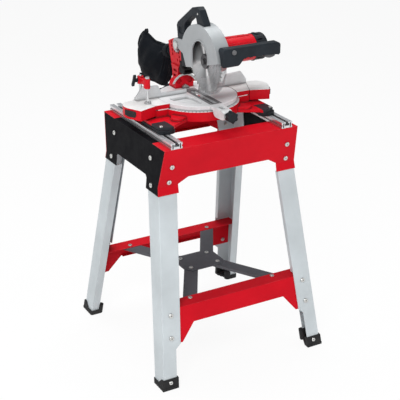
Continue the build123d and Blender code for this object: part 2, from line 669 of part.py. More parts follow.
def make_turntable():
    t = TABLE_Z
    body = on_xy(disc(0, CY, R_T), DISC_Z, t)
    rim = body.faces().sort_by(Axis.Z)[-1].edges()
    body = chamfer(rim, 1.2)
    body = body + on_xy(disc(0, CY, 132) - disc(0, CY, 125), RING_Z1 + PAD_GAP, DISC_Z)
    body = body - on_xy(slab(-60, BRACKET_Y - 14, 60, 200), DISC_Z - 10, DISC_Z)
    body = body + rod((0, CY, DISC_Z + 2), (0, 0, -1), HUB_R, 0, DISC_Z + 2 - PLATE_Z - 3)
    body = body + on_xy(disc(0, CY, 19), RING_Z1 + PAD_GAP, DISC_Z + 1)
    prof = make_face([Line((-96, t), (-176, t - 2)), Line((-176, t - 2), (-190, t - 8)),
                      Line((-190, t - 8), (-190, t - 25)), Line((-190, t - 25), (-183, TONGUE_LOW)),
                      Line((-183, TONGUE_LOW), (-150, TONGUE_LOW)),
                      ThreePointArc((-150, TONGUE_LOW), (-136, t - 26), (-130, DISC_Z)),
                      Line((-130, DISC_Z), (-96, DISC_Z)), Line((-96, DISC_Z), (-96, t))])
    plan = poly((-24, -96), (24, -96), (17, -190), (-17, -190))
    tongue = on_yz(prof, -30, 30) & on_xy(plan, t - 41, t + 9)
    tongue = tongue - on_xy(Pos(0, -148) * SlotOverall(30, 15, rotation=90), t - 9, t + 9)
    body = body + tongue
    # kidney pocket in the left front quarter
    pie = poly((0, CY), (-150, CY - 4), (-150, CY - 150), (-52, CY - 150))
    pocket = (disc(0, CY, 106) - disc(0, CY, 38)) & pie & slab(-140, -140, -28, 40)
    pocket = fillet(pocket.vertices(), 6)
    body = body - on_xy(pocket, DISC_Z + 3, t + 5)
    # recess and through slot for the insert, with four screw bosses
    x0, x1, y0, y1 = INSERT
    body = body - on_xy(slab(x0, y0, x1, y1), t - 3, t + 5)
    x0, x1, y0, y1 = KERF
    body = body - on_xy(slab(x0, y0, x1, y1), DISC_Z - 12, t + 5)
    for x, y in INSERT_SCREWS:
        body = body - Pos(x, y, t) * Cylinder(1.6, 22)
    # rear face for the bevel bracket
    body = body + on_xy(slab(-34, BRACKET_Y - 18, 34, BRACKET_Y), t - 33, t - 2)
    body = body - on_xy(slab(-36, BRACKET_Y, 36, 200), DISC_Z - 30, t + 5)
    for x in (-24, 24):
        body = body - rod((x, BRACKET_Y + 2, t - 22), (0, -1, 0), 3.0, 0, 16)
    body = body - rod((0, LOCK_TIP + 0.5, LOCK_Z), (0, -1, 0), 4.0 + RUN_FIT, 0, 90)
    # clearance for the bevel pin's hexagon
    body = body - rod((0, 84, t), (0, 1, 0), 13.0, 0, 20)
    return body


INSERT_SCREWS = tuple((x, y) for y in (INSERT[2] + 9, INSERT[3] - 8)
                      for x in (INSERT[0] + 6, INSERT[1] - 4.5))


def make_insert():
    x0, x1, y0, y1 = INSERT
    g = 0.3
    plate = on_xy(slab(x0 + g, y0 + g, x1 - g, y1 - g), TABLE_Z - 3, TABLE_Z - 0.2)
    slot = Pos(5.5, -19) * SlotOverall(158, 21, rotation=90)
    plate = plate - on_xy(slot, TABLE_Z - 6, TABLE_Z + 2)
    for x, y in INSERT_SCREWS:
        plate = plate - Pos(x, y, TABLE_Z) * Cylinder(1.6, 22)
        plate = plate - Pos(x, y, TABLE_Z + 0.3) * Cylinder(2.9, 3)
    return plate


def star(r, lobes, dip):
    pts = []
    for i in range(lobes * 8):
        a = 2 * math.pi * i / (lobes * 8)
        k = r - dip * (0.5 - 0.5 * math.cos(lobes * a))
        pts.append((k * math.cos(a), k * math.sin(a)))
    return make_face(Spline(*pts, periodic=True))


def make_mitre_knob():
    y = TONGUE_Y
    stem = rod((0, LOCK_TIP - PLUG_L - 0.5, LOCK_Z), (0, -1, 0), 4.0, 0, LOCK_TIP - PLUG_L - 0.5 - y + 8)
    hub = rod((0, y - 1, LOCK_Z), (0, -1, 0), 11.0, 0, 12)
    head = extrude(Plane(origin=(0, y - 9, LOCK_Z), z_dir=(0, -1, 0)) * star(KNOB_R, 6, 3.5), amount=23)
    head = chamfer(head.faces().sort_by(Axis.Y)[0].edges(), 2.0)
    return stem + hub + head


def make_bracket():
    body = disc(0, TABLE_Z, SCALE_R) - slab(-80, TABLE_Z - 80, -BEVEL_R, TABLE_Z + 17)
    body = body - slab(BEVEL_R, TABLE_Z - 80, 80, TABLE_Z + 17) - slab(-80, TABLE_Z - 171, 80, TABLE_Z - 33)
    part = on_xz(body, BRACKET_Y, BRACKET_Y + BRACKET_T)
    part = part - rod((0, BRACKET_Y - 5, TABLE_Z), (0, 1, 0), 10.0, 0, 40)
    for x in (-24, 24):
        part = part - rod((x, BRACKET_Y - 5, TABLE_Z - 22), (0, 1, 0), 3.0, 0, 40)
        part = part - rod((x, BRACKET_Y + BRACKET_T - 4.6, TABLE_Z - 22), (0, 1, 0), 6.0, 0, 10)
    # shallow web pockets on the front face
    for x in (-20, 20):
        part = part - on_xz(disc(x, TABLE_Z + 24, 9), BRACKET_Y - 1, BRACKET_Y + 4)
    return part


def make_scale():
    t = TABLE_Z
    ring = (disc(0, t, SCALE_R) - disc(0, t, SCALE_R - 7)) & slab(-60, t + 18, 60, t + 89)
    plate = on_xz(ring, BRACKET_Y - 2, BRACKET_Y)
    for i in range(-6, 7):
        a = math.radians(i * 10)
        u, v = math.sin(a), math.cos(a)
        tick = Pos(u * (SCALE_R - 2), BRACKET_Y - 2, t + v * (SCALE_R - 2))
        plate = plate - tick * Rot(0, math.degrees(a), 0) * Box(0.8, 0.8, 5)
    return plate


ARM_Y0 = BRACKET_Y + BRACKET_T + PAD_GAP
ARM_Y1 = 150.0


def make_bevel_pin():
    pin = rod((0, BRACKET_Y - 9, TABLE_Z), (0, 1, 0), 10.0, 0, 73)
    seat = Plane(origin=(0, BRACKET_Y, TABLE_Z), z_dir=(0, -1, 0))
    return pin + extrude(seat * RegularPolygon(12.5, 6), amount=9)


def make_bevel_lock():
    hub = rod((0, ARM_Y1 + PAD_GAP, TABLE_Z), (0, 1, 0), 17.0, 0, 16)
    stick = on_xz(hull((0, TABLE_Z, 10), (-56, TABLE_Z - 22, 8)), ARM_Y1 + 7, ARM_Y1 + 16)
    end = rod((-56, ARM_Y1 + 5, TABLE_Z - 22), (0, 1, 0), 10.0, 0, 14)
    end = fillet(end.edges(), 2.0)
    body = hub + stick + end
    return body - rod((0, ARM_Y1 - 2, TABLE_Z), (0, 1, 0), 10.0 + RUN_FIT, 0, 16.5)


turntable = make_turntable()
save("turntable", turntable)
save("table_insert", make_insert())
save("mitre_knob", make_mitre_knob())
save("bevel_bracket", make_bracket())
save("bevel_scale", make_scale())
save("bevel_pin", make_bevel_pin())
save("bevel_lock", make_bevel_lock())
bolts = []
for x, y in INSERT_SCREWS:
    bolts.append(Pos(x, y, TABLE_Z - 1.2) * screw(2.8, 1.0, 1.6, 9.0, dome=0.3))
for x in (-24, 24):
    seat = Plane(origin=(x, BRACKET_Y + BRACKET_T - 4.6, TABLE_Z - 22), z_dir=(0, 1, 0))
    bolts.append(seat.location * screw(5.5, 4.0, 3.0, 18.0))
# the plug that the mitre lock screw presses against the base ring
bolts.append(rod((0, LOCK_TIP, LOCK_Z), (0, -1, 0), 4.0, 0, PLUG_L))
save("table_screws", *bolts)


# Arm, chute and bag
def make_arm():
    t = TABLE_Z
    py, pz = PIVOT
    foot = on_xz(disc(0, t, BEVEL_R - 1), ARM_Y0, ARM_Y1)
    low = make_face([Line((ARM_Y0, t), (ARM_Y0, t + 53)),
                     ThreePointArc((ARM_Y0, t + 53), (108.6, t + 64), (105, t + 73)),
                     Line((105, t + 73), (160, t + 73)),
                     ThreePointArc((160, t + 73), (152, t + 57), (ARM_Y1, t + 39)),
                     Line((ARM_Y1, t + 39), (ARM_Y1, t)), Line((ARM_Y1, t), (ARM_Y0, t))])
    column = on_yz(low, -ARM_HX, ARM_HX)
    high = make_face([Line((106, t + 67), (97, t + 101)),
                      ThreePointArc((97, t + 101), (92, t + 119), (91, t + 141)),
                      ThreePointArc((91, t + 141), (100, t + 165.5), (118, t + 168)),
                      ThreePointArc((118, t + 168), (150, t + 160), (189, t + 143)),
                      Line((189, t + 143), (172, t + 81)),
                      ThreePointArc((172, t + 81), (166, t + 73), (158, t + 67)),
                      Line((158, t + 67), (106, t + 67))])
    arm = foot + column + on_yz(high, -ARM_TOP_HX, ARM_TOP_HX)
    # rows of rounded pockets down both flanks, a web left between them
    for row in range(5):
        for col in range(4):
            u = 118 + col * 15.5 + row * 3.2 - 10
            v = t + 91 + row * 13.5
            if math.hypot(u - py, v - pz) < 20 or u > 168 + row * 4:
                continue
            if math.hypot(u - 140, v - t - 97) < 16:
                continue
            for sx in (-1, 1):
                cell = Pos(u, v) * SlotOverall(11, 7, rotation=74)
                x0, x1 = (ARM_TOP_HX - 4, ARM_TOP_HX + 1)
                arm = arm - (on_yz(cell, x0, x1) if sx > 0 else on_yz(cell, -x1, -x0))
    for v in (t + 19, t + 37, t + 55):
        for sx in (-1, 1):
            cell = Pos(130, v) * SlotOverall(26, 9)
            arm = arm - on_yz(cell, sx * ARM_HX - 5, sx * ARM_HX + 5)
    arm = arm - rod((-30, py, pz), (1, 0, 0), 8.0 + RUN_FIT, 0, 60)
    arm = arm - rod((0, ARM_Y0 - 5, t), (0, 1, 0), 10.0 + RUN_FIT, 0, 60)
    # chip duct from the chute to the bag collar
    ny, nz = unit(BAG_NECK[0] - 96, BAG_NECK[1] - t - 81)
    return arm - rod((0, 90, t + 81 - 6 * nz / ny), (0, ny, nz), 10.5, -10, 130)


NECK_N = unit(0, 62, -17)


def make_collar():
    y, z = BAG_NECK
    p = (0, y, z)
    plate = rod(p, NECK_N, 13.5, -2.2, 4)
    tube = rod(p, NECK_N, 17.0, 4, 24) + rod(p, NECK_N, 19.0, 18, 22)
    body = plate + tube
    return body - rod(p, NECK_N, 10.5, -20, 40)


def make_chute():
    """Rubber chip funnel in front of the arm, open towards the blade."""
    t = TABLE_Z
    side = poly((73, t + 53), (73, t + 70), (89, t + 71.5), (97, t + 90), (99, t + 95),
                (106.5, t + 67), (107, t + 59),
                (103, t + 53))
    body = on_yz(side, -17, 17)
    inner = poly((60, t + 55.5), (60, t + 67), (91, t + 68.5), (99, t + 88), (104, t + 67), (102, t + 55.5))
    body = body - on_yz(inner, -14, 14)
    ny, nz = unit(BAG_NECK[0] - 96, BAG_NECK[1] - t - 81)
    return body - rod((0, 90, t + 81 - 6 * nz / ny), (0, ny, nz), 10.5, -10, 60)


# distance along the neck, half width, half height and rise of each bag section
BAG_ROWS = ((19.5, 20, 20, 0), (28, 26, 34, -10), (42, 37, 60, -26), (70, 45, 74, -31),
            (110, 48, 74, -18), (160, 42, 83, 1), (196, 26, 71, -3), (212, 10, 53, -5))
BAG_WALL = 2.0


def bag_loft(rows):
    p = Vector(0, BAG_NECK[0], BAG_NECK[1])
    n = Vector(*NECK_N)
    faces = []
    for run, hx, hz, dz in rows:
        o = p + n * run + Vector(-0.15 * max(run - 20, 0), 0, dz)
        plane = Plane(origin=o, x_dir=(1, 0, 0), z_dir=(0, 1, -0.1))
        faces.append(plane * Ellipse(hx, hz))
    return loft(faces)


def make_bag():
    """Soft bag hung from the collar: a thin lofted shell leaning back."""
    w = BAG_WALL
    inner = [(BAG_ROWS[0][0] + 5, 16, 16, 0)]
    inner += [(run, hx - w, hz - w, dz) for run, hx, hz, dz in BAG_ROWS[1:-1]]
    run, hx, hz, dz = BAG_ROWS[-1]
    inner.append((run - w, hx - w, hz - w, dz))
    bag = bag_loft(BAG_ROWS) - bag_loft(inner)
    p = (0, BAG_NECK[0], BAG_NECK[1])
    return bag - rod(p, NECK_N, 17.0, -5, 27) - rod(p, NECK_N, 19.0, 10, 22)


arm = make_arm()
chute = make_chute() - arm
save("arm", arm)
save("bag_collar", make_collar() - arm)
save("dust_chute", chute)
save("dust_bag", make_bag())


# Upper guard and the pieces it carries
def guard_floor():
    a = ARBOR[1]
    return poly((-400, a + 91), (-99, a + 4), (-99, a - 21), (-4, a - 26), (44, a - 37),
                (140, a - 51), (300, a - 51), (300, a + 403), (-400, a + 403))


DEFLECT = ((98, 13), (66, 3), (43, -39), (60, -57), (110, -57), (110, 7))
DEFLECT = tuple((y, ARBOR[1] + rise) for y, rise in DEFLECT)


def lobe_sketch():
    py, pz = PIVOT
    return hull((py, pz, 24), (30, ARBOR[1] + 25, 26), (60, ARBOR[1] + 13, 30)) - disc(*ARBOR, GUARD_IN)


def guard_sketch():
    return (disc(*ARBOR, GUARD_R) & guard_floor())


def make_guard():
    cutter = poly(*DEFLECT)
    lobe = lobe_sketch()
    plate = guard_sketch() + hull((PIVOT[0], PIVOT[1], 24), (30, ARBOR[1] + 25, 26), (60, ARBOR[1] + 13, 30))
    plate = plate - cutter
    rise = ARBOR[1] + 19
    arch = disc(-48, rise, 51) + slab(-99, rise - 116, 3, rise)
    left = on_yz(plate - arch, -GUARD_HX, -GUARD_HX + GUARD_WALL)
    right = on_yz(plate - disc(*ARBOR, NOSE_R), GUARD_HX - GUARD_WALL, GUARD_HX)
    rim = (disc(*ARBOR, GUARD_R) - disc(*ARBOR, GUARD_IN)) & guard_floor()
    shell = on_yz(rim - cutter, -GUARD_HX, GUARD_HX) + left + right
    # rolled bead round the arch
    bead = (disc(-48, rise, 55) + slab(-103, rise - 34, 7, rise)) - arch
    shell = shell + on_yz(bead & guard_sketch(), -GUARD_HX - 1.5, -GUARD_HX + 1)
    for x0, x1 in ((-GUARD_HX, -ARM_TOP_HX - 1), (ARM_TOP_HX + 1, GUARD_HX)):
        shell = shell + on_yz(lobe - cutter, x0, x1)
    # the arm's upper end moves between the lobes
    keep = disc(PIVOT[0], PIVOT[1], 34)
    shell = shell - on_yz(keep, -ARM_TOP_HX - 1, ARM_TOP_HX + 1)
    shell = shell - rod((-40, PIVOT[0], PIVOT[1]), (1, 0, 0), 8.0, 0, 80)
    for y, z in HEAD_SCREWS:
        shell = shell - rod((15, y, z), (1, 0, 0), 2.5, 0, 20)
    return shell


HEAD_SCREWS = tuple((y, ARBOR[1] + rise) for y, rise in ((-43, 33.5), (-68, -22.5), (-24, -25)))


def make_deflector():
    cutter = poly(*DEFLECT)
    floor = guard_floor()
    rim = (disc(*ARBOR, GUARD_R) - disc(*ARBOR, GUARD_IN)) & floor & cutter
    cheek = guard_sketch() & cutter
    body = on_yz(rim, -GUARD_HX, GUARD_HX)
    for x0 in (-GUARD_HX, GUARD_HX - GUARD_WALL):
        body = body + on_yz(cheek, x0, x0 + GUARD_WALL)
    return body


def make_handle(guard):
    top = ARBOR[1] + GUARD_R
    foot = PIVOT[1] + 12
    outline = [(106, foot), (115, top - 33), (109, top - 22), (10, top + 45), (-22, top + 52),
               (-36, top + 44), (-66, top + 5), (-66, top - 29), (-22, top - 29), (-22, top),
               (-13, top + 20), (8, top + 18), (54, top - 13), (62, top - 26), (62, foot)]
    body = on_yz(poly(*outline), -21, 5)
    long_edges = [e for e in body.edges() if abs(e.tangent_at(0).X) > 0.99]
    long_edges = [e for e in long_edges if e.center().Z > top - 39
                  and abs(e.center().Z - top + 29) > 0.5]
    body = fillet(long_edges, 4.0)
    sides = [e for e in body.edges() if abs(e.tangent_at(0.5).X) < 0.01 and e.center().Z > top - 19
             and abs(abs(e.center().X + 8) - 13) < 0.01]
    if sides:
        body = chamfer(sides, 1.6)
    body = body - on_yz(disc(*ARBOR, GUARD_R), -30, 30)
    # moulded recess in both flanks of the rear post and the front leg
    for x0 in (-24, 2):
        body = body - on_yz(slab(70, foot + 32, 100, top - 35), x0, x0 + 6)
    body = body - guard
    # clear of the arm's pivot end
    body = body - on_yz(disc(PIVOT[0], PIVOT[1], 26.5), -ARM_TOP_HX - 2, ARM_TOP_HX + 2)
    parts = sorted(body.solids(), key=lambda s: s.volume)
    return parts[-1]


def gear_face(n, m, shrink):
    """Spur gear with involute-like flanks."""
    r = m * n / 2
    tip, root = r + 0.9 * m, r - 1.2 * m
    half = math.pi / (2 * n) - shrink / r
    pts = []
    for i in range(n):
        a = 2 * math.pi * i / n
        for s in (-1, 1):
            flank = [(root, 1.65), (r, 1.0), (tip, 0.42)]
            flank = flank if s < 0 else flank[::-1]
            for rad, k in flank:
                pts.append((rad * math.cos(a + s * half * k), rad * math.sin(a + s * half * k)))
    return make_face(Polyline(*pts, close=True))


GEAR_X = (30.0, 42.0)


def make_housing():
    outer = hull((ARBOR[0], ARBOR[1], 41), (MOTOR[0], MOTOR[1], MOTOR_R + 2))
    inner = hull((ARBOR[0], ARBOR[1], 37), (MOTOR[0], MOTOR[1], MOTOR_R - 3))
    box = on_yz(outer, GUARD_HX, 62)
    box = chamfer(box.faces().sort_by(Axis.X)[-1].edges(), 3.0)
    barrel = on_yz(disc(*MOTOR, MOTOR_R), 58, MOTOR_X1)
    nose = on_yz(disc(*ARBOR, NOSE_R), LOWER_HX - 1.5, GUARD_HX + 1)
    body = box + barrel + nose
    body = body - on_yz(inner, GEAR_X[0] - 1.5, 58)
    body = body - on_yz(disc(*MOTOR, MOTOR_R - 4), 58 - 1, MOTOR_X1 + 1)
    # wall between gearbox and motor, with the bearing seat
    wall = disc(*MOTOR, MOTOR_R - 2) - disc(*MOTOR, 11)
    body = body + on_yz(wall, 58, 62)
    # spindle bore, and ribs along the barrel
    body = body - on_yz(disc(*ARBOR, 10.0 + RUN_FIT), 0, 60)
    for k in range(7):
        a = math.radians(-60 + k * 40)
        rib = Pos(0, MOTOR[0] + (MOTOR_R + 0.4) * math.cos(a), MOTOR[1] + (MOTOR_R + 0.4) * math.sin(a))
        rib = rib * Rot(math.degrees(a), 0, 0) * Pos(128, 0, 0) * Box(108, 2.4, 3)
        body = body + rib
    # air slots near the fan
    for k in range(9):
        a = math.radians(20 + k * 16)
        slot = Pos(74, MOTOR[0] + MOTOR_R * math.cos(a), MOTOR[1] + MOTOR_R * math.sin(a))
        body = body - slot * Rot(math.degrees(a), 0, 0) * Box(14, 12, 4)
    for y, z in HEAD_SCREWS:
        body = body - rod((20, y, z), (1, 0, 0), 2.5, 0, 9)
    return body


def make_end_cap():
    cap = on_yz(disc(*MOTOR, MOTOR_R + 1), MOTOR_X1, CAP_X1)
    cap = fillet(cap.faces().sort_by(Axis.X)[-1].edges(), 9.0)
    cap = cap - on_yz(disc(*MOTOR, MOTOR_R - 5), MOTOR_X1 - 1, CAP_X1 - 6)
    cap = cap + on_yz(disc(*MOTOR, 12), CAP_X1 - 20, CAP_X1 - 5)
    cap = cap - on_yz(disc(*MOTOR, 5.0 + RUN_FIT), CAP_X1 - 22, CAP_X1 - 8)
    for k in range(12):
        a = math.radians(15 + k * 30)
        slot = Pos(MOTOR_X1 + 16, MOTOR[0] + MOTOR_R * math.cos(a), MOTOR[1] + MOTOR_R * math.sin(a))
        cap = cap - slot * Rot(math.degrees(a), 0, 0) * Box(20, 14, 5)
    for s in (-1, 1):
        p = (MOTOR_X1 + 9, MOTOR[0], MOTOR[1] + s * (MOTOR_R - 6))
        cap = cap + rod(p, (0, 0, s), 7.0, 0, 9)
    return cap


GLAND = (CAP_X1 - 14, MOTOR[0] + 28, MOTOR[1] - 31)
GLAND_N = unit(0, 28, -31)


def make_gland():
    """Empty cable inlet on the cap."""
    return rod(GLAND, GLAND_N, 8.0, -4, 10) + rod(GLAND, GLAND_N, 6.0, 10, 18)


def gland_bore():
    return rod(GLAND, GLAND_N, 3.6, -8, 30)


TRIGGER_X = (146.0, 184.0)
BUTTON = (26.0, GRIP[1] + 7.0)


def make_grip(guard):
    y, z = GRIP
    x0, x1 = GRIP_X
    side = make_face([Line((x0, z + 12), (x0 + 8, z + 21)), Line((x0 + 8, z + 21), (x1 - 10, z + 20)),
                      ThreePointArc((x1 - 10, z + 20), (x1 - 2, z + 16), (x1, z + 8)),
                      Line((x1, z + 8), (x1, z - 16)), Line((x1, z - 16), (x1 - 6, z - 21)),
                      Line((x1 - 6, z - 21), (x1 - 14, z - 19)),
                      ThreePointArc((x1 - 14, z - 19), (116, z - 15.5), (62, z - 18)),
                      Line((62, z - 18), (44, z - 39)), Line((44, z - 39), (x0 + 6, z - 41)),
                      Line((x0 + 6, z - 41), (x0, z - 32)), Line((x0, z - 32), (x0, z + 12))])
    section = Pos(y, z - 10) * RectangleRounded(34, 62, 10)
    body = on_xz(side, y - 17, y + 17) & on_yz(section, x0 - 1, x1 + 1)
    saddle = on_xz(slab(x0 + 2, z - 38, 25, z + 14), y + 16, y + 80)
    body = body + saddle
    body = body - on_yz(disc(*ARBOR, GUARD_R), -80, 80)
    # pockets for the trigger and the round button
    body = body - Pos((TRIGGER_X[0] + TRIGGER_X[1]) / 2, y, z - 20) * Box(39, 16.6, 28)
    body = body - rod((BUTTON[0], y, BUTTON[1]), (0, -1, 0), 7.5 + 0.3, 4, 30)
    # finger grooves along the underside
    for k in range(3):
        body = body - rod((78 + 22 * k, y - 30, z - 26), (0, 1, 0), 11.5, 0, 60)
    parts = sorted(body.solids(), key=lambda s: s.volume)
    return parts[-1]


def make_trigger():
    y, z = GRIP
    xa, xb = TRIGGER_X
    side = make_face([Line((xa, z - 14), (xb, z - 14)), Line((xb, z - 14), (xb, z - 25)),
                      ThreePointArc((xb, z - 25), ((xa + xb) / 2, z - 30), (xa, z - 24)),
                      Line((xa, z - 24), (xa, z - 14))])
    body = on_xz(side, y - 8, y + 8)
    return fillet(body.faces().sort_by(Axis.Z)[0].edges(), 1.5)


def make_button():
    y = GRIP[0]
    body = rod((BUTTON[0], y, BUTTON[1]), (0, -1, 0), 7.5, 10, 21)
    return chamfer(body.faces().sort_by(Axis.Y)[0].edges(), 1.2)


def make_blade():
    pts = []
    for i in range(TEETH):
        a = 2 * math.pi * i / TEETH
        step = 2 * math.pi / TEETH
        for k, r in ((0.0, BLADE_R), (0.16, BLADE_R - 0.5), (0.42, BLADE_R - 4.5), (0.66, BLADE_R - 8.0),
                     (0.9, BLADE_R - 6.5)):
            t = a + k * step
            pts.append((r * math.cos(t), r * math.sin(t)))
    face = make_face(Polyline(*pts, close=True)) - Circle(15.0)
    for i in range(4):
        # expansion slots in the blade body
        face = face - Rot(0, 0, 45 + 90 * i) * (Pos(80, 0) * SlotOverall(30, 2.5))
    return on_yz(Pos(*ARBOR) * face, -BLADE_T / 2, BLADE_T / 2)


def make_flanges():
    h = BLADE_T / 2
    inner = on_yz(disc(*ARBOR, 24) - disc(*ARBOR, 15.0), h, h + 4.5)
    outer = on_yz(disc(*ARBOR, 24) - disc(*ARBOR, 6.0), -h - 5, -h)
    outer = chamfer(outer.faces().sort_by(Axis.X)[0].edges().sort_by(lambda e: -e.length)[0], 2.0)
    return inner, outer


def make_arbor_bolt():
    h = BLADE_T / 2
    y, z = ARBOR
    head = extrude(Plane(origin=(-h - 5, y, z), z_dir=(-1, 0, 0)) * RegularPolygon(9.5, 6), amount=7)
    washer = rod((-h - 5, y, z), (-1, 0, 0), 12.0, 0, 2)
    return head + washer + rod((-h - 5, y, z), (1, 0, 0), 6.0, 0, 20)


def make_spindle():
    h = BLADE_T / 2
    y, z = ARBOR
    nose = on_yz(disc(y, z, 15.0), -h + 0.2, h + 4.5)
    shaft = on_yz(disc(y, z, 10.0), h + 4, 48)
    gear = on_yz(Pos(y, z) * (Rot(0, 0, GEAR_ANGLE) * gear_face(GEAR_N, GEAR_M, 0.12)), *GEAR_X)
    body = nose + shaft + gear
    for k in range(6):
        a = math.radians(60 * k)
        p = (GEAR_X[0] - 1, y + 22 * math.cos(a), z + 22 * math.sin(a))
        body = body - rod(p, (1, 0, 0), 6.5, 0, 20)
    return body - on_yz(disc(y, z, 6.0), -h - 1, -h + 15)


def make_armature():
    y, z = MOTOR
    shaft = on_yz(disc(y, z, 5.0), GEAR_X[0], CAP_X1 - 9)
    turn = GEAR_ANGLE + 180 + 180.0 / PINION_N
    gear = on_yz(Pos(y, z) * (Rot(0, 0, turn) * gear_face(PINION_N, GEAR_M, 0.12)), *GEAR_X)
    core = on_yz(disc(y, z, 22), 92, 158)
    for k in range(10):
        a = math.radians(36 * k)
        core = core - rod((80, y + 22 * math.cos(a), z + 22 * math.sin(a)), (1, 0, 0), 2.6, 0, 90)
    fan = on_yz(disc(y, z, 12), 68, 80)
    for k in range(8):
        blade = Pos(74, y, z) * Rot(45 * k, 0, 0) * Pos(0, 22, 0) * Box(10, 24, 2)
        fan = fan + blade
    commutator = on_yz(disc(y, z, 13), 166, 182)
    return shaft + gear + core + fan + commutator


def make_stator():
    ring = disc(*MOTOR, MOTOR_R - 4) - disc(*MOTOR, 34)
    body = on_yz(ring, 92, 158)
    for s in (-1, 1):
        half = slab(-200, MOTOR[1] + s * 12, 200, MOTOR[1] + s * 60)
        pole = (disc(*MOTOR, 35) - disc(*MOTOR, 23)) & half
        body = body + on_yz(pole, 92, 158)
    return body


def make_bearings():
    a = on_yz(disc(*ARBOR, 15.5) - disc(*ARBOR, 10.0 + RUN_FIT), 43.5, 51)
    b = on_yz(disc(*MOTOR, 11) - disc(*MOTOR, 5.0 + RUN_FIT), 56.5, 63)
    return a, b


def make_lower_guard():
    """Clear lower guard: a drum sector turning on the gearbox nose."""
    y, z = ARBOR
    pie = [(y, z)]
    for i in range(11):
        t = math.radians(LOWER_FROM + (LOWER_TO - LOWER_FROM) * i / 10)
        pie.append((y - 300 * math.cos(t), z - 300 * math.sin(t)))
    sector = poly(*pie)
    rim = (disc(y, z, LOWER_R) - disc(y, z, LOWER_R - 2)) & sector
    shell = on_yz(rim, -LOWER_HX, LOWER_HX)
    left = (disc(y, z, LOWER_R) - disc(y, z, 52)) & sector
    shell = shell + on_yz(left, -LOWER_HX, -LOWER_HX + 1.6)
    right = ((disc(y, z, LOWER_R) & sector) + disc(y, z, NOSE_R + 7)) - disc(y, z, NOSE_R + RUN_FIT)
    shell = shell + on_yz(right, LOWER_HX - 0.6, LOWER_HX + 1.4)
    # moulded ribs round the rim
    for r in (LOWER_R - 14, LOWER_R - 30):
        rib = (disc(y, z, r) - disc(y, z, r - 2)) & sector
        shell = shell + on_yz(rib, -LOWER_HX - 1.2, -LOWER_HX + 1)
    return shell


def make_chop_pin():
    y, z = PIVOT
    pin = rod((-GUARD_HX - 1, y, z), (1, 0, 0), 8.0, 0, 2 * GUARD_HX + 6)
    head = rod((-GUARD_HX, y, z), (-1, 0, 0), 13.0, 0, 5)
    head = chamfer(head.faces().sort_by(Axis.X)[0].edges(), 1.5)
    clip = rod((GUARD_HX, y, z), (1, 0, 0), 11.0, 0, 3)
    return pin + head + clip


guard = make_guard()
save("upper_guard", guard)
save("chip_deflector", make_deflector())
save("carry_handle", make_handle(guard))
housing = make_housing()
save("motor_housing", housing)
cap = make_end_cap()
save("motor_cap", cap + make_gland() - gland_bore())
save("grip", make_grip(guard))
save("trigger", make_trigger())
save("lock_button", make_button())
save("blade", make_blade())
save("arbor_set", make_arbor_bolt(), *make_flanges())
save("spindle", make_spindle())
save("armature", make_armature())
save("stator", make_stator())
save("bearings", *make_bearings())
save("lower_guard", make_lower_guard())
save("chop_pin", make_chop_pin())
bolts = []
for y, z in HEAD_SCREWS:
    seat = Plane(origin=(GUARD_HX - GUARD_WALL, y, z), z_dir=(-1, 0, 0))
    bolts.append(seat.location * screw(4.5, 3.0, 2.5, 6.0, dome=0.8))
save("head_screws", *bolts)

# the bag sticks out behind the feet, so the outline's middle lies behind the stand's middle
BAG_BACK = max(v.bounding_box().max.Y for v in PARTS["dust_bag"])
FOOT_FRONT = min(v.bounding_box().min.Y for v in PARTS["foot_fl"])
export_all(-(BAG_BACK + FOOT_FRONT) / 2)
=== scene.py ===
import bpy
import bmesh
import math
from mathutils import Matrix, Vector, noise


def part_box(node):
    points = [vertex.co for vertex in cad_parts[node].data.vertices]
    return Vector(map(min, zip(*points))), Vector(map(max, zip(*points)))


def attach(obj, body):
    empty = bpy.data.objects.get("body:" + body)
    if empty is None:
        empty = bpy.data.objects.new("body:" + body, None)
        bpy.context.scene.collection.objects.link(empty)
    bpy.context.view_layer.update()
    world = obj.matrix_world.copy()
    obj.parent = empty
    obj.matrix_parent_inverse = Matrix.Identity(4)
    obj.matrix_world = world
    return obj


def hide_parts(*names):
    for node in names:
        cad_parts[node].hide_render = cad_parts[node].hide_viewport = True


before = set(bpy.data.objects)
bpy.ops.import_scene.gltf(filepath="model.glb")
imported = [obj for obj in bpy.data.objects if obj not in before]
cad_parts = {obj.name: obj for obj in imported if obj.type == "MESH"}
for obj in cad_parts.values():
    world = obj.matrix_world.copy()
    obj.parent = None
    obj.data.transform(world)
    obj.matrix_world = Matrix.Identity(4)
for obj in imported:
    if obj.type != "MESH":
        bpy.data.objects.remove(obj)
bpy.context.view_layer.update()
scene = bpy.context.scene
scene.view_settings.view_transform = "Standard"

# The CAD is drawn about the middle of the stand, and packed with the middle of the whole outline at
# the origin; the clamp post gives the distance between the two
POST_Y = 0.056            # from the middle of the stand back to the post
post_lo, post_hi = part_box("clamp_post")
SHIFT = (post_lo[1] + post_hi[1]) / 2 - POST_Y


def at(x, y, z):
    """A point of the drawing, in millimetres, as a point of the frame."""
    return Vector((x / 1000, y / 1000 + SHIFT, z / 1000))


# Camera, from the fit of the stand's corners
AZIMUTH = math.radians(-29.38)
ELEVATION = math.radians(23.35)
ROLL = math.radians(0.11)
DISTANCE = 3.63585        # from the target to the camera
TARGET = at(8.0, 0, 491.9)
FOCAL = 1053.86           # in pixels of the picture
PICTURE = 400             # pixels across
SENSOR = 36.0             # millimetres across


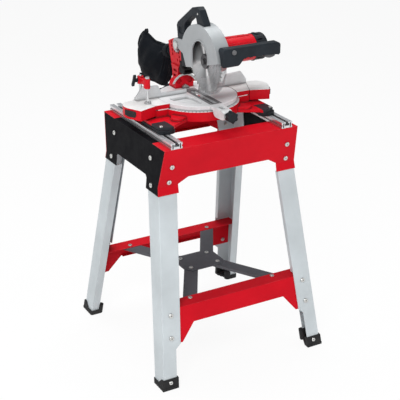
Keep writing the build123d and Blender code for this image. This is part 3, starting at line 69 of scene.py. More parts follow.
def place_camera():
    data = bpy.data.cameras.new("camera")
    camera = bpy.data.objects.new("camera", data)
    scene.collection.objects.link(camera)
    level = math.cos(ELEVATION)
    back = Vector((math.sin(AZIMUTH) * level, -math.cos(AZIMUTH) * level, math.sin(ELEVATION)))
    camera.location = TARGET + back * DISTANCE
    turn = (-back).to_track_quat("-Z", "Y").to_matrix() @ Matrix.Rotation(ROLL, 3, "Z")
    camera.rotation_euler = turn.to_euler()
    data.lens = SENSOR * FOCAL / PICTURE
    data.sensor_width = SENSOR
    data.shift_x = -1.0 / PICTURE
    data.clip_start = 0.1
    data.clip_end = 60
    data.dof.use_dof = False
    scene.camera = camera


place_camera()

# Places on the saw that materials and pieces share
TABLE_Z = 0.871
SKIM = 0.0006             # faces this near the table's height count as machined
TABLE_R = 0.1335          # machined top of the turntable
CENTRE = at(0, 15, 871)   # the mitre axis, at the table's height
WELL_R = 0.1285           # well in the base under the turntable; it is coloured as painted shade
RING_R = 0.1290           # inner edge of the ring that carries the degree marks
RING_LOW = 0.8530
RING_HIGH = 0.8560
BEVEL_AT = at(0, 99, 871)
BLADE_AT = at(0, -43, 997)
TOOTH_BAND_R = 0.0955     # the blade is stained outside this
DARK_X = 0.166            # the ends of the base's front arms, which are dark
DARK_Y = at(0, -72, 0).y
DARK_Z = 0.848
MARK_STEP = 5.0           # degrees between the marks of both scales


# Shader helpers
class Mat:
    """A principled material with a few named node shortcuts; coordinates are the frame's metres."""

    # how far the painted shade in corners and gaps reaches
    GRIME_REACH = 0.012

    def __init__(self, name, color, rough, metal=0.0, soft=0.0009, **fixed):
        self.material = bpy.data.materials.new(name)
        self.material.use_nodes = True
        self.tree = self.material.node_tree
        self.shader = self.tree.nodes["Principled BSDF"]
        self.drive("Base Color", (*color, 1))
        self.drive("Roughness", rough)
        self.drive("Metallic", metal)
        for key, value in fixed.items():
            self.drive(key.replace("_", " "), value)
        self.place = self.node("ShaderNodeTexCoord").outputs["Object"]
        self.normal = self.rounded(soft) if soft else None

    def feed(self, socket, value):
        """Link a node's output to a socket, or set the socket's own value."""
        if hasattr(value, "is_output"):
            self.tree.links.new(value, socket)
        else:
            socket.default_value = value

    def drive(self, key, value):
        """Feed an input of the shader."""
        self.feed(self.shader.inputs[key], value)

    def node(self, kind, ins=(), **props):
        made = self.tree.nodes.new(kind)
        for key, value in props.items():
            setattr(made, key, value)
        for key, value in dict(ins).items():
            self.feed(made.inputs[key], value)
        return made

    def scaled(self, x, y, z):
        """Coordinates stretched along each axis."""
        return self.node("ShaderNodeMapping", {"Vector": self.place, "Scale": (x, y, z)}).outputs[0]

    def noise(self, scale, detail=3.0, rough=0.55, place=None):
        ins = {"Vector": place or self.place, "Scale": scale, "Detail": detail, "Roughness": rough}
        return self.node("ShaderNodeTexNoise", ins).outputs[0]

    def lines(self, x, y, z):
        """Drawn lines: noise stretched by a scale along each axis."""
        return self.noise(1.0, 3.0, 0.6, self.scaled(x, y, z))

    def turned(self, radius, scale, detail=3.0):
        """Lathe lines: noise in rings, from the distance to an axis."""
        ins = {"W": self.times(radius, scale), "Detail": detail}
        return self.node("ShaderNodeTexNoise", ins, noise_dimensions="1D").outputs[0]

    def cells(self, scale):
        ins = {"Vector": self.place, "Scale": scale}
        return self.node("ShaderNodeTexVoronoi", ins, feature="SMOOTH_F1").outputs["Distance"]

    def math(self, op, a, b=0.0, clamp=False):
        return self.node("ShaderNodeMath", {0: a, 1: b}, operation=op, use_clamp=clamp).outputs[0]

    def times(self, a, b):
        return self.math("MULTIPLY", a, b)

    def above(self, value, limit):
        """1 where a value is over a limit, 0 elsewhere."""
        return self.math("GREATER_THAN", value, limit)

    def below(self, value, limit):
        """1 where a value is under a limit, 0 elsewhere."""
        return self.math("LESS_THAN", value, limit)

    def wave(self, value, factor, phase=0.0):
        """Sine of a value, scaled and then shifted."""
        return self.math("SINE", self.math("ADD", self.times(value, factor), phase))

    def marks(self, steps, width):
        """1 near every whole number of steps, 0 between."""
        return self.below(self.math("PINGPONG", steps, 0.5), width)

    def fit(self, value, a0, a1, b0, b1):
        """Map the range a0 to a1 onto b0 to b1."""
        ins = {"Value": value, "From Min": a0, "From Max": a1, "To Min": b0, "To Max": b1}
        return self.node("ShaderNodeMapRange", ins).outputs[0]

    def share(self, value, low=0.0, high=1.0):
        """Map the middle range of a noise onto low to high."""
        return self.fit(value, 0.3, 0.7, low, high)

    def mix(self, share, a, b):
        """Blend from tone a to tone b; each is a node's output or a colour."""
        made = self.node("ShaderNodeMix", {0: share}, data_type="RGBA")
        for key, tone in ((6, a), (7, b)):
            self.feed(made.inputs[key], tone if hasattr(tone, "is_output") else (*tone, 1))
        return made.outputs[2]

    def mottled(self, value, color, dark, light):
        """A colour that varies between two shades of itself."""
        return self.mix(self.share(value), lift(color, dark), lift(color, light))

    def axis(self, name, place=None):
        return self.node("ShaderNodeSeparateXYZ", {0: place or self.place}).outputs[name]

    def vector(self, op, a, b=(0.0, 0.0, 0.0)):
        return self.node("ShaderNodeVectorMath", {0: a, 1: b}, operation=op).outputs

    def off_axis(self, centre, axes):
        """Distance and offset from an axis through centre; axes names the two directions across it."""
        across = tuple(1.0 if name in axes else 0.0 for name in "XYZ")
        offset = self.vector("SUBTRACT", self.place, tuple(centre))[0]
        offset = self.vector("MULTIPLY", offset, across)[0]
        return self.vector("LENGTH", offset)["Value"], offset

    def angle(self, offset, first, second):
        return self.math("ARCTAN2", self.axis(first, offset), self.axis(second, offset))

    def rounded(self, radius):
        """The normal as it would be with the edges rounded to a radius."""
        return self.node("ShaderNodeBevel", {"Radius": radius}, samples=4).outputs[0]

    def edges(self, radius, low=0.02, high=0.25):
        """1 along sharp edges, 0 on flat faces."""
        flat = self.node("ShaderNodeNewGeometry").outputs["Normal"]
        dot = self.vector("DOT_PRODUCT", self.rounded(radius), flat)["Value"]
        return self.fit(self.math("SUBTRACT", 1.0, dot), low, high, 0.0, 1.0)

    def rubbed(self, tone, worn, radius, flecks, wear, low=0.35):
        """Wear a tone along sharp edges, in flecks."""
        share = self.times(self.edges(radius), self.fit(flecks, low, 0.7, 0.0, wear))
        return self.mix(share, tone, worn)

    def grime(self, tone, color):
        """Painted shade: darken a tone in corners and narrow gaps, where shadow falls."""
        ins = {"Distance": self.GRIME_REACH}
        free = self.node("ShaderNodeAmbientOcclusion", ins, samples=8).outputs["AO"]
        return self.mix(self.fit(free, 0.25, 0.85, 0.85, 0.0), tone, color)

    def bump(self, height, strength, distance):
        ins = {"Height": height, "Strength": strength, "Distance": distance}
        if self.normal is not None:
            ins["Normal"] = self.normal
        self.normal = self.node("ShaderNodeBump", ins).outputs[0]

    def done(self, color, rough=None):
        self.drive("Base Color", color)
        if rough is not None:
            self.drive("Roughness", rough)
        if self.normal is not None:
            self.drive("Normal", self.normal)
        return self.material


def lift(color, factor):
    """A colour made lighter or darker."""
    return tuple(min(1.0, value * factor) for value in color)


# Materials
def powder(name, color, rough=0.34, wear=0.35, peel=620.0, metal=0.0, shine=0.14):
    """Powder coat on sheet: orange peel, faint mottling and rubbed edges."""
    m = Mat(name, color, rough, metal, Specular_IOR_Level=shine)
    tone = m.mottled(m.noise(7.0, 4.0), color, 0.9, 1.08)
    specks = m.fit(m.noise(2600.0, 1.0), 0.62, 0.8, 0.0, 0.35)
    tone = m.mix(specks, tone, lift(color, 1.3))
    worn = tuple(min(1, value * 0.6 + 0.3) for value in color)
    tone = m.rubbed(tone, worn, 0.0022, m.noise(90.0, 4.0), wear)
    m.bump(m.noise(peel, 2.0), 0.12, 0.0006)
    m.bump(m.noise(55.0, 2.0), 0.05, 0.002)
    return m.done(tone, m.share(m.noise(34.0, 5.0), rough - 0.06, rough + 0.09))


def cast(m, color, spread=0.1):
    """Tone and bump of a painted die casting, on an existing material."""
    tone = m.mottled(m.noise(16.0, 5.0), color, 1 - spread, 1 + spread)
    # painted shade: darker in corners and narrow gaps
    tone = m.grime(tone, lift(color, 0.2))
    m.bump(m.noise(420.0, 4.0), 0.16, 0.0007)
    m.bump(m.noise(48.0, 2.0), 0.06, 0.003)
    return tone


def casting(name, color, worn, wear, rough, limits, metal=0.0, shine=0.5, spread=0.1):
    """Painted casting with rubbed edges; limits are its least and most roughness."""
    m = Mat(name, color, rough, metal, Specular_IOR_Level=shine)
    tone = cast(m, color, spread)
    tone = m.rubbed(tone, worn, 0.002, m.noise(90.0, 4.0), wear, 0.4)
    return m.done(tone, m.share(m.noise(40.0, 4.0), *limits))


def grain(name, color, rough, scale=1500.0, depth=0.3):
    """Moulded plastic with a fine leather grain and polished edges."""
    m = Mat(name, color, rough, Specular_IOR_Level=0.17)
    tone = m.mottled(m.noise(22.0, 4.0), color, 0.85, 1.2)
    worn = tuple(value * 1.6 + 0.05 for value in color)
    tone = m.rubbed(tone, worn, 0.0018, m.noise(120.0, 3.0), 0.2)
    m.bump(m.cells(scale), depth, 0.0004)
    m.bump(m.noise(60.0, 2.0), 0.05, 0.002)
    return m.done(tone, m.share(m.noise(45.0, 4.0), rough - 0.07, rough + 0.08))


def brushed(name, color, rough, stretch, metal=0.95, spread=0.12):
    """Bare metal with drawn lines; stretch is the noise scale along each axis."""
    m = Mat(name, color, rough, metal)
    lines = m.lines(*stretch)
    tone = m.mottled(lines, color, 1 - spread, 1 + spread)
    stain = m.fit(m.noise(18.0, 4.0), 0.45, 0.8, 0.0, 0.3)
    # real stains in patches, then painted shade in corners and narrow gaps
    tone = m.grime(m.mix(stain, tone, lift(color, 0.7)), lift(color, 0.15))
    m.bump(lines, 0.08, 0.0003)
    return m.done(tone, m.fit(lines, 0.25, 0.75, rough - 0.08, rough + 0.12))


def machined(m, lines, color):
    """Tone of a machined face with stains, on an existing material."""
    tone = m.mottled(lines, color, 0.86, 1.08)
    return m.mix(m.fit(m.noise(14.0, 5.0), 0.5, 0.85, 0.0, 0.35), tone, lift(color, 0.72))


def turntable_alloy(name, color):
    """Cast alloy table: fine lathe rings on the machined top, plain casting on the sides and tongue."""
    m = Mat(name, color, 0.42, 0.5)
    radius, _ = m.off_axis(CENTRE, "XY")
    lines = m.turned(radius, 1900.0)
    top = m.times(m.above(m.axis("Z"), TABLE_Z - SKIM), m.below(radius, TABLE_R))
    side = m.mottled(m.noise(60.0, 5.0), lift(color, 0.82), 0.86, 1.06)
    tone = m.mix(top, side, machined(m, lines, color))
    # painted shade: darker in the pocket, the gaps and the corners
    tone = m.grime(tone, (0.10, 0.10, 0.10))
    m.drive("Metallic", m.times(top, 0.36))
    m.bump(lines, 0.07, 0.0003)
    m.bump(m.noise(380.0, 4.0), 0.05, 0.0006)
    return m.done(tone, m.fit(lines, 0.25, 0.75, 0.36, 0.54))


def painted_base(name, with_scale):
    """Red casting whose table faces are machined bare; the ring's top carries the degree marks."""
    m = Mat(name, RED, 0.36, Specular_IOR_Level=0.1)
    red = cast(m, RED)
    bare = machined(m, m.lines(60, 1400, 60), (0.86, 0.86, 0.85))
    z = m.axis("Z")
    radius, offset = m.off_axis(CENTRE, "XY")
    # painted shade: the well under the turntable, seen only through the slot, is coloured near black
    well = m.times(m.below(radius, WELL_R), m.below(z, RING_HIGH))
    red = m.mix(well, red, (0.035, 0.012, 0.012))
    # the front arms end in dark dipped tips
    tip = m.above(m.math("ABSOLUTE", m.axis("X")), DARK_X)
    tip = m.times(tip, m.below(m.axis("Y"), DARK_Y))
    tip = m.times(tip, m.below(z, DARK_Z))
    red = m.mix(tip, red, (0.022, 0.027, 0.032))
    top = m.above(z, TABLE_Z - SKIM)
    # painted shade in the base's corners and narrow gaps
    tone = m.grime(m.mix(top, red, bare), (0.06, 0.03, 0.03))
    metal = m.times(top, 0.34)
    if with_scale:
        ring = m.times(m.above(z, RING_LOW), m.below(z, RING_HIGH))
        ring = m.times(ring, m.above(radius, RING_R))
        turn = m.math("ABSOLUTE", m.angle(offset, "X", "Y"))
        ticks = m.marks(m.times(turn, math.degrees(1) / MARK_STEP), 0.06)
        plate = m.mix(ticks, (0.78, 0.79, 0.80), (0.03, 0.03, 0.03))
        tone = m.mix(ring, tone, plate)
        metal = m.math("MAXIMUM", metal, m.times(ring, 0.3))
    m.drive("Metallic", metal)
    return m.done(tone, m.share(m.noise(40.0, 4.0), 0.3, 0.44))


def marked_plate(name, color):
    """Bevel scale: satin plate with a mark every five degrees and a longer one every fifteen."""
    m = Mat(name, color, 0.4, 0.5)
    lines = m.lines(900, 900, 60)
    tone = m.mottled(lines, color, 0.86, 1.06)
    radius, offset = m.off_axis(BEVEL_AT, "XZ")
    turn = m.math("ABSOLUTE", m.angle(offset, "X", "Z"))
    turn = m.times(turn, math.degrees(1))
    short = m.marks(m.math("DIVIDE", turn, MARK_STEP), 0.07)
    short = m.times(short, m.above(radius, 0.0455))
    long = m.marks(m.math("DIVIDE", turn, 3 * MARK_STEP), 0.03)
    tone = m.mix(m.math("MAXIMUM", short, long), tone, (0.02, 0.02, 0.02))
    return m.done(tone, m.fit(lines, 0.25, 0.75, 0.32, 0.5))


def rubber(name, color):
    """Matt rubber with dust in patches."""
    m = Mat(name, color, 0.72, Specular_IOR_Level=0.3)
    dust = m.fit(m.noise(30.0, 5.0), 0.45, 0.8, 0.0, 0.5)
    tone = m.mix(dust, color, (0.045, 0.044, 0.042))
    m.bump(m.noise(900.0, 3.0), 0.2, 0.0005)
    return m.done(tone, m.share(m.noise(60.0, 4.0), 0.62, 0.82))


def clear(name, color):
    """Clear tinted guard: see-through, scuffed along its turning direction."""
    m = Mat(name, color, 0.16, Specular_IOR_Level=0.6, Coat_Weight=0.3)
    radius, _ = m.off_axis(BLADE_AT, "YZ")
    patch = m.fit(m.noise(48.0, 5.0), 0.42, 0.72, 0.0, 1.0)
    scuff = m.times(patch, m.fit(m.turned(radius, 700.0), 0.4, 0.7, 0.15, 1.0))
    tone = m.mix(m.times(scuff, 0.7), color, (0.62, 0.63, 0.64))
    rim = m.times(m.edges(0.0016, 0.01, 0.12), 0.35)
    m.drive("Alpha", m.math("ADD", m.fit(scuff, 0.0, 1.0, 0.2, 0.5), rim, True))
    m.bump(m.noise(38.0, 2.0), 0.08, 0.002)
    return m.done(tone, m.fit(scuff, 0.0, 1.0, 0.1, 0.4))


def blade_steel(name, color):
    """Ground saw plate: ring-brushed, so that light spreads in a bow tie across it; a painted bow tie of
    shade and painted glints are laid into its colour as well.
    """
    m = Mat(name, color, 0.34, 0.5, soft=0, Anisotropic=0.85)
    m.drive("Tangent", m.node("ShaderNodeTangent", direction_type="RADIAL", axis="X").outputs[0])
    radius, offset = m.off_axis(BLADE_AT, "YZ")
    lines = m.turned(radius, 2400.0, 4.0)
    tone = machined(m, lines, color)
    # painted shade and painted highlight: a dark fan and bright glints set by the angle round the arbor
    turn = m.angle(offset, "Y", "Z")
    fan = m.fit(m.wave(turn, 2.0, 0.9), -0.7, 0.7, 0.0, 0.8)
    tone = m.mix(fan, tone, (0.10, 0.103, 0.106))
    glint = m.math("POWER", m.fit(m.wave(turn, 4.0, 0.3), -1.0, 1.0, 0.0, 1.0), 9.0)
    tone = m.mix(m.times(glint, 0.9), tone, (0.97, 0.97, 0.97))
    stain = m.times(m.above(radius, TOOTH_BAND_R), 0.6)
    tone = m.mix(stain, tone, (0.36, 0.34, 0.31))
    # painted shade where the guard comes close and in narrow gaps
    tone = m.grime(tone, (0.03, 0.03, 0.032))
    m.bump(lines, 0.12, 0.0002)
    return m.done(tone, m.fit(lines, 0.25, 0.75, 0.26, 0.42))


def weave(name, color, size):
    """Plain weave from crossed waves, with slubs and a soft sheen."""
    m = Mat(name, color, 0.85, soft=0, Sheen_Weight=0.05, Sheen_Roughness=0.4, Specular_IOR_Level=0.06)
    cross, warp, weft = [m.wave(m.axis(way), 2 * math.pi / size) for way in "XYZ"]
    over = m.times(m.times(warp, weft), m.fit(cross, -1, 1, 0.7, 1.0))
    slub = m.lines(200, 40, 900)
    tone = m.mix(m.fit(over, -1, 1, 0.0, 1.0), lift(color, 0.7), lift(color, 1.6))
    tone = m.mix(m.fit(slub, 0.45, 0.8, 0.0, 0.5), tone, lift(color, 2.4))
    dust = m.fit(m.noise(26.0, 5.0), 0.5, 0.8, 0.0, 0.2)
    tone = m.mix(dust, tone, (0.03, 0.03, 0.031))
    m.bump(m.noise(70.0, 3.0), 0.25, 0.003)
    m.bump(over, 0.35, 0.0006)
    return m.done(tone, m.share(slub, 0.78, 0.95))


RED = (0.56, 0.005, 0.014)
SILVER = (0.55, 0.595, 0.615)
GREY = (0.36, 0.38, 0.39)
BLACK = (0.010, 0.012, 0.015)
ALLOY = (0.80, 0.81, 0.82)

MATS = {
    "red_sheet": powder("red_powder_coat", RED, shine=0.07),
    "leg": powder("silver_powder_coat", SILVER, 0.36, 0.15, 700.0, 0.25, 0.35),
    "black_sheet": powder("black_powder_coat", (0.0035, 0.0035, 0.005), 0.45, 0.1, shine=0.03),
    "brace": powder("grey_powder_coat", (0.085, 0.085, 0.096), 0.42, 0.3, shine=0.2),
    "rail": brushed("anodised_rail", (0.74, 0.75, 0.77), 0.34, (1500, 18, 1500)),
    "base": painted_base("red_casting_with_scale", True),
    "wing": painted_base("red_casting", False),
    "red": casting("red_casting_gloss", RED, (0.72, 0.30, 0.28), 0.3, 0.33, (0.27, 0.4), shine=0.15),
    "guard": casting("grey_casting", GREY, (0.7, 0.71, 0.72), 0.5, 0.42, (0.34, 0.5), 0.25, spread=0.06),
    "table": turntable_alloy("turned_table", ALLOY),
    "fence": brushed("milled_fence", (0.66, 0.67, 0.68), 0.44, (30, 900, 1300), 0.55),
    "black": grain("black_moulding", BLACK, 0.48),
    "soft_black": grain("soft_grip_moulding", (0.013, 0.017, 0.022), 0.5, 900.0, 0.4),
    "dark": grain("grey_moulding", (0.13, 0.13, 0.135), 0.42, 1800.0, 0.18),
    "insert": grain("insert_moulding", (0.15, 0.15, 0.155), 0.45, 2100.0, 0.15),
    "rubber": rubber("foot_rubber", (0.013, 0.013, 0.014)),
    "clear": clear("clear_guard", (0.30, 0.31, 0.32)),
    "blade": blade_steel("blade_steel", (0.48, 0.49, 0.50)),
    "carbide": brushed("carbide_tips", (0.36, 0.36, 0.37), 0.3, (900, 900, 900), 0.8),
    "steel": brushed("ground_steel", (0.58, 0.59, 0.60), 0.3, (400, 400, 900)),
    "zinc": brushed("zinc_plate", (0.66, 0.66, 0.64), 0.34, (700, 700, 700), 0.9, 0.18),
    "oxide": brushed("black_oxide", (0.10, 0.10, 0.105), 0.34, (900, 900, 900), 0.75, 0.25),
    "scale": marked_plate("scale_plate", (0.80, 0.80, 0.79)),
    "copper": brushed("windings", (0.62, 0.33, 0.18), 0.4, (60, 900, 900), 0.8, 0.3),
    "cloth": weave("bag_cloth", (0.0042, 0.0054, 0.0074), 0.0016),
    "webbing": weave("bag_webbing", (0.012, 0.013, 0.015), 0.0009),
    "thread": weave("bag_thread", (0.05, 0.052, 0.056), 0.0005),
}

FINISH = {
    "red_sheet": "front_apron rear_apron front_strut rear_strut",
    "black_sheet": "left_panel right_panel",
    "leg": "leg_bl leg_br leg_fl leg_fr",
    "brace": "brace_arms brace_hub",
    "rail": "rail_left rail_right",
    "base": "saw_base",
    "wing": "support_left support_right",
    "table": "turntable",
    "fence": "fence_left fence_right",
    "red": "arm motor_housing clamp_arm bevel_bracket",
    "guard": "upper_guard",
    "black": "bag_collar base_feet bevel_lock chip_deflector clamp_lock mitre_knob motor_cap",
    "soft_black": "carry_handle grip",
    "dark": "lock_button trigger",
    "insert": "table_insert",
    "rubber": "foot_bl foot_br foot_fl foot_fr dust_chute",
    "clear": "lower_guard",
    "blade": "blade",
    "steel": "armature bearings clamp_post clamp_spindle spindle",
    "zinc": "bevel_pin chop_pin frame_bolts head_screws saw_bolts table_screws",
    "oxide": "arbor_set",
    "scale": "bevel_scale",
    "copper": "stator",
    "cloth": "dust_bag",
}


def dress(obj, material):
    obj.data.materials.clear()
    obj.data.materials.append(material)


for key, names in FINISH.items():
    for name in names.split():
        dress(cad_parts[name], MATS[key])


# Piece helpers
def piece(name, verts, faces, material, body, smooth=True):
    """A mesh that the CAD doesn't have, riding on one of its bodies."""
    mesh = bpy.data.meshes.new(name)
    mesh.from_pydata([tuple(v) for v in verts], [], faces)
    edit = bmesh.new()
    edit.from_mesh(mesh)
    bmesh.ops.recalc_face_normals(edit, faces=edit.faces)
    edit.to_mesh(mesh)
    edit.free()
    mesh.polygons.foreach_set("use_smooth", [smooth] * len(mesh.polygons))
    obj = bpy.data.objects.new(name, mesh)
    scene.collection.objects.link(obj)
    dress(obj, MATS[material])
    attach(obj, body)
    return obj


def angles(count):
    """Equal steps of a full turn."""
    return [2 * math.pi * k / count for k in range(count)]


def skin(rows, around):
    """Faces between rows of points, each of which goes once round."""
    faces = []
    for i in range(rows - 1):
        low = i * around
        high = low + around
        for k in range(around):
            q = (k + 1) % around
            faces.append((low + k, low + q, high + q, high + k))
    return faces


def cap(row, around):
    """The face that closes one row of a skin."""
    return tuple(range(row * around, (row + 1) * around))


def stack(sections):
    """Skin a list of equal closed rings and close both ends."""
    rows = len(sections)
    around = len(sections[0])
    verts = [v for ring in sections for v in ring]
    return verts, skin(rows, around) + [cap(0, around), cap(rows - 1, around)]


def tube(path, radii, sides):
    """Round tube along points, with a radius for each."""
    sections = []
    last = len(path) - 1
    for i, (point, radius) in enumerate(zip(path, radii)):
        along = (path[min(i + 1, last)] - path[max(i - 1, 0)]).normalized()
        side = along.cross(Vector((0, 0, 1)))
        if side.length < 0.05:
            side = along.cross(Vector((1, 0, 0)))
        side.normalize()
        high = side.cross(along)
        sections.append([point + (side * math.cos(t) + high * math.sin(t)) * radius for t in angles(sides)])
    return stack(sections)


def lathe(origin, axis, profile, sides, wave=None):
    """Revolve (distance along axis, radius) pairs about an axis; wave adds to the radius."""
    axis = Vector(axis).normalized()
    side = axis.orthogonal().normalized()
    high = axis.cross(side)
    verts = []
    for distance, radius in profile:
        for t in angles(sides):
            out = radius + (wave(t, distance) if wave else 0.0)
            verts.append(origin + axis * distance + (side * math.cos(t) + high * math.sin(t)) * out)
    return verts, skin(len(profile), sides)


def merge(parts):
    """Several sets of vertices and faces as one."""
    verts, faces = [], []
    for part_verts, part_faces in parts:
        base = len(verts)
        verts += part_verts
        faces += [tuple(i + base for i in face) for face in part_faces]
    return verts, faces


def screw_head(place, axis, r):
    """Domed screw head with a hexagon socket."""
    sides = 18
    half = 0.46 * r       # of the socket's width across its flats
    dome = [(-0.35 * r, r), (0.25 * r, r), (0.5 * r, 0.86 * r), (0.6 * r, 0.55 * r)]
    socket = [(0.6 * r, half), (0.12 * r, half)]

    def corners(t, distance):
        """What the hexagon's corners add, the same at every depth."""
        turn = (t + math.pi / 6) % (math.pi / 3) - math.pi / 6
        return min(half / max(math.cos(turn), 0.5), 0.53 * r) - half

    verts, _ = lathe(place, axis, dome, sides)
    inner, _ = lathe(place, axis, socket, sides, corners)
    rows = len(dome) + len(socket)
    return verts + inner, skin(rows, sides) + [cap(rows - 1, sides)]


# Dust bag: two sewn panels gathered at the collar, sagging under their own weight
BAG_AT = at(0, 182, 978)
BAG_WAY = Vector((0, 0.9644, -0.2644))
# sections: distance from the collar, half width, half height and rise, in millimetres
BAG_ROWS = ((16, 22, 22, 0), (22, 24, 26, -1), (30, 33, 58, -27), (60, 43, 73, -32), (110, 47, 73, -18),
            (160, 41, 82, 1), (196, 25, 70, -3), (210, 9, 52, -5), (214, 2.5, 46, -5))
AROUND = 64               # points round a section
ALONG = 46                # sections of the mesh
TOP_SEAM = AROUND // 4
LOW_SEAM = 3 * AROUND // 4
SEAM_START = 7            # the first section past the gathers
PINNED = 5                # sections held by the cuff
HUNG = 28                 # from this section on the top seam is held up
MOST_SAG = 0.011          # furthest that a point of the cloth may move
SETTLE_FRAMES = 24


def row_at(share):
    """Bag section at a share of its length, smooth between the rows."""
    last = len(BAG_ROWS) - 1
    i = min(int(share * last), last - 1)
    f = share * last - i
    out = []
    for k in range(4):
        p = [BAG_ROWS[min(max(i + step, 0), last)][k] for step in (-1, 0, 1, 2)]
        leave = (p[2] - p[0]) / 2
        arrive = (p[3] - p[1]) / 2
        out.append((2 * f ** 3 - 3 * f ** 2 + 1) * p[1] + (f ** 3 - 2 * f ** 2 + f) * leave
                   + (3 * f ** 2 - 2 * f ** 3) * p[2] + (f ** 3 - f ** 2) * arrive)
    return out


def bag_points():
    """The bag before it sags; away from the collar its sections come to an edge at both seams."""
    pts = []
    for i in range(ALONG):
        run, half_x, half_z, rise = row_at(i / (ALONG - 1))
        lean = -0.00015 * max(run - 20, 0)
        middle = BAG_AT + BAG_WAY * (run / 1000) + Vector((lean, 0, rise / 1000))
        sharp = min(max((run - 22) / 40, 0), 1) * 0.35
        for t in angles(AROUND):
            c = math.cos(t)
            s = math.sin(t)
            x = math.copysign(abs(c) ** (1 + sharp), c) * half_x / 1000
            z = math.copysign(abs(s) ** (1 - 0.25 * sharp), s) * half_z / 1000
            pts.append(middle + Vector((x, 0.0995 * z, 0.995 * z)))
    return pts


def bag_faces():
    """Skin of the bag, with its far end sewn shut."""
    faces = skin(ALONG, AROUND)
    last = (ALONG - 1) * AROUND
    half = AROUND // 2
    for k in range(-AROUND // 4, AROUND // 4):
        ring = [last + v % AROUND for v in (k, k + 1, half - k - 1, half - k)]
        faces.append(tuple(dict.fromkeys(ring)))
    return [face for face in faces if len(face) > 2]


def sag(pts, faces):
    """Let the cloth settle for a few frames, pinned at the collar; no point moves far."""
    mesh = bpy.data.meshes.new("settle")
    mesh.from_pydata([tuple(v) for v in pts], [], faces)
    obj = bpy.data.objects.new("settle", mesh)
    scene.collection.objects.link(obj)
    held = obj.vertex_groups.new(name="held")
    held.add(list(range(PINNED * AROUND)), 1.0, "REPLACE")
    held.add([i * AROUND + TOP_SEAM for i in range(HUNG, ALONG)], 0.7, "REPLACE")
    cloth = obj.modifiers.new("settle", "CLOTH")
    cloth.collision_settings.use_collision = False
    cloth.settings.quality = 7
    cloth.settings.mass = 0.18
    cloth.settings.vertex_group_mass = "held"
    cloth.settings.tension_stiffness = 12
    cloth.settings.compression_stiffness = 12
    cloth.settings.shear_stiffness = 6
    cloth.settings.bending_stiffness = 0.25
    cloth.settings.use_pressure = True
    cloth.settings.uniform_pressure_force = 0.35
    cloth.settings.shrink_min = -0.035
    for number in range(1, SETTLE_FRAMES + 1):
        scene.frame_set(number)
    settled = bpy.data.meshes.new_from_object(obj.evaluated_get(bpy.context.evaluated_depsgraph_get()))
    out = [v.co.copy() for v in settled.vertices]
    scene.frame_set(1)
    bpy.data.objects.remove(obj)
    bpy.data.meshes.remove(settled)
    bpy.data.meshes.remove(mesh)
    for i, (before, after) in enumerate(zip(pts, out)):
        move = after - before
        if move.length > MOST_SAG:
            out[i] = before + move * (MOST_SAG / move.length)
    return out


def creased(pts):
    """Gathers that fan out from the collar and soft folds towards the low corner."""
    out = []
    for i in range(ALONG):
        share = i / (ALONG - 1)
        ring = pts[i * AROUND:(i + 1) * AROUND]
        middle = sum(ring, Vector()) / AROUND
        gather = 0.0026 * math.exp(-((share - 0.24) / 0.16) ** 2)
        slack = 0.0075 * min(max((share - 0.3) / 0.3, 0), 1)
        for t, p in zip(angles(AROUND), ring):
            fan = math.sin(15 * t + 0.8 * math.sin(3 * t)) * gather
            slant = Vector((p.x * 5, (p.y + 0.75 * p.z) * 14, (p.z - 0.75 * p.y) * 3))
            fold = (0.5 - abs(noise.noise(slant * 1.6))) * slack
            fine = noise.noise(p * 60) * 0.0009
            edge = abs(math.cos(t))
            out.append(p + (p - middle).normalized() * ((fold + fine) * edge + fan - 0.002 * edge))
    return out


def make_stitches(pts, centre):
    """A row of stitches on both sides of the piping."""
    dashes = []
    for s in (-1, 1):
        for i in range(SEAM_START + 1, ALONG - 2):
            for seam, way in ((TOP_SEAM, -s), (LOW_SEAM, s)):
                k = i * AROUND + seam + 2 * s
                a = pts[k]
                b = pts[k + AROUND]
                out = ((a - centre).normalized() * 0.3 + Vector((way, 0, 0))) * 0.0009
                for u in (0.08, 0.58):
                    dash = [a.lerp(b, u) + out, a.lerp(b, u + 0.18) + out * 1.4, a.lerp(b, u + 0.34) + out]
                    dashes.append(tube(dash, (0.0002, 0.00045, 0.0002), 5))
    piece("bag_stitches", *merge(dashes), "thread", "column")


def cuff_ribs(t, distance):
    """Gathers round the elastic, weaker at its hems."""
    return 0.0007 * math.sin(30 * t) * (1 if 0.016 < distance < 0.032 else 0.3)


def make_cuff():
    """Elastic cuff, ribbed by its gathers."""
    profile = [(0.0155, 0.0192), (0.0145, 0.0212), (0.0165, 0.0236), (0.021, 0.0246), (0.0255, 0.0252),
               (0.030, 0.0262), (0.033, 0.0250), (0.033, 0.0225)]
    piece("bag_cuff", *lathe(BAG_AT, BAG_WAY, profile, 120, cuff_ribs), "webbing", "column")


def make_loop(tip):
    """Webbing loop at the high corner."""
    steps = 10
    wide = Vector((0.0048, 0, 0))
    strip = []
    for step in range(steps + 1):
        t = math.pi * step / steps
        c = tip + Vector((0, 0.006 * math.cos(t), -0.003 + 0.011 * math.sin(t)))
        thick = Vector((0, math.cos(t), math.sin(t))) * 0.0006
        strip.append([c - wide - thick, c + wide - thick, c + wide + thick, c - wide + thick])
    piece("bag_loop", *stack(strip), "webbing", "column", False)


def placed(outline, point):
    """Outline of (x, z) pairs as points about a place."""
    return [point + Vector((x, 0, z)) for x, z in outline]


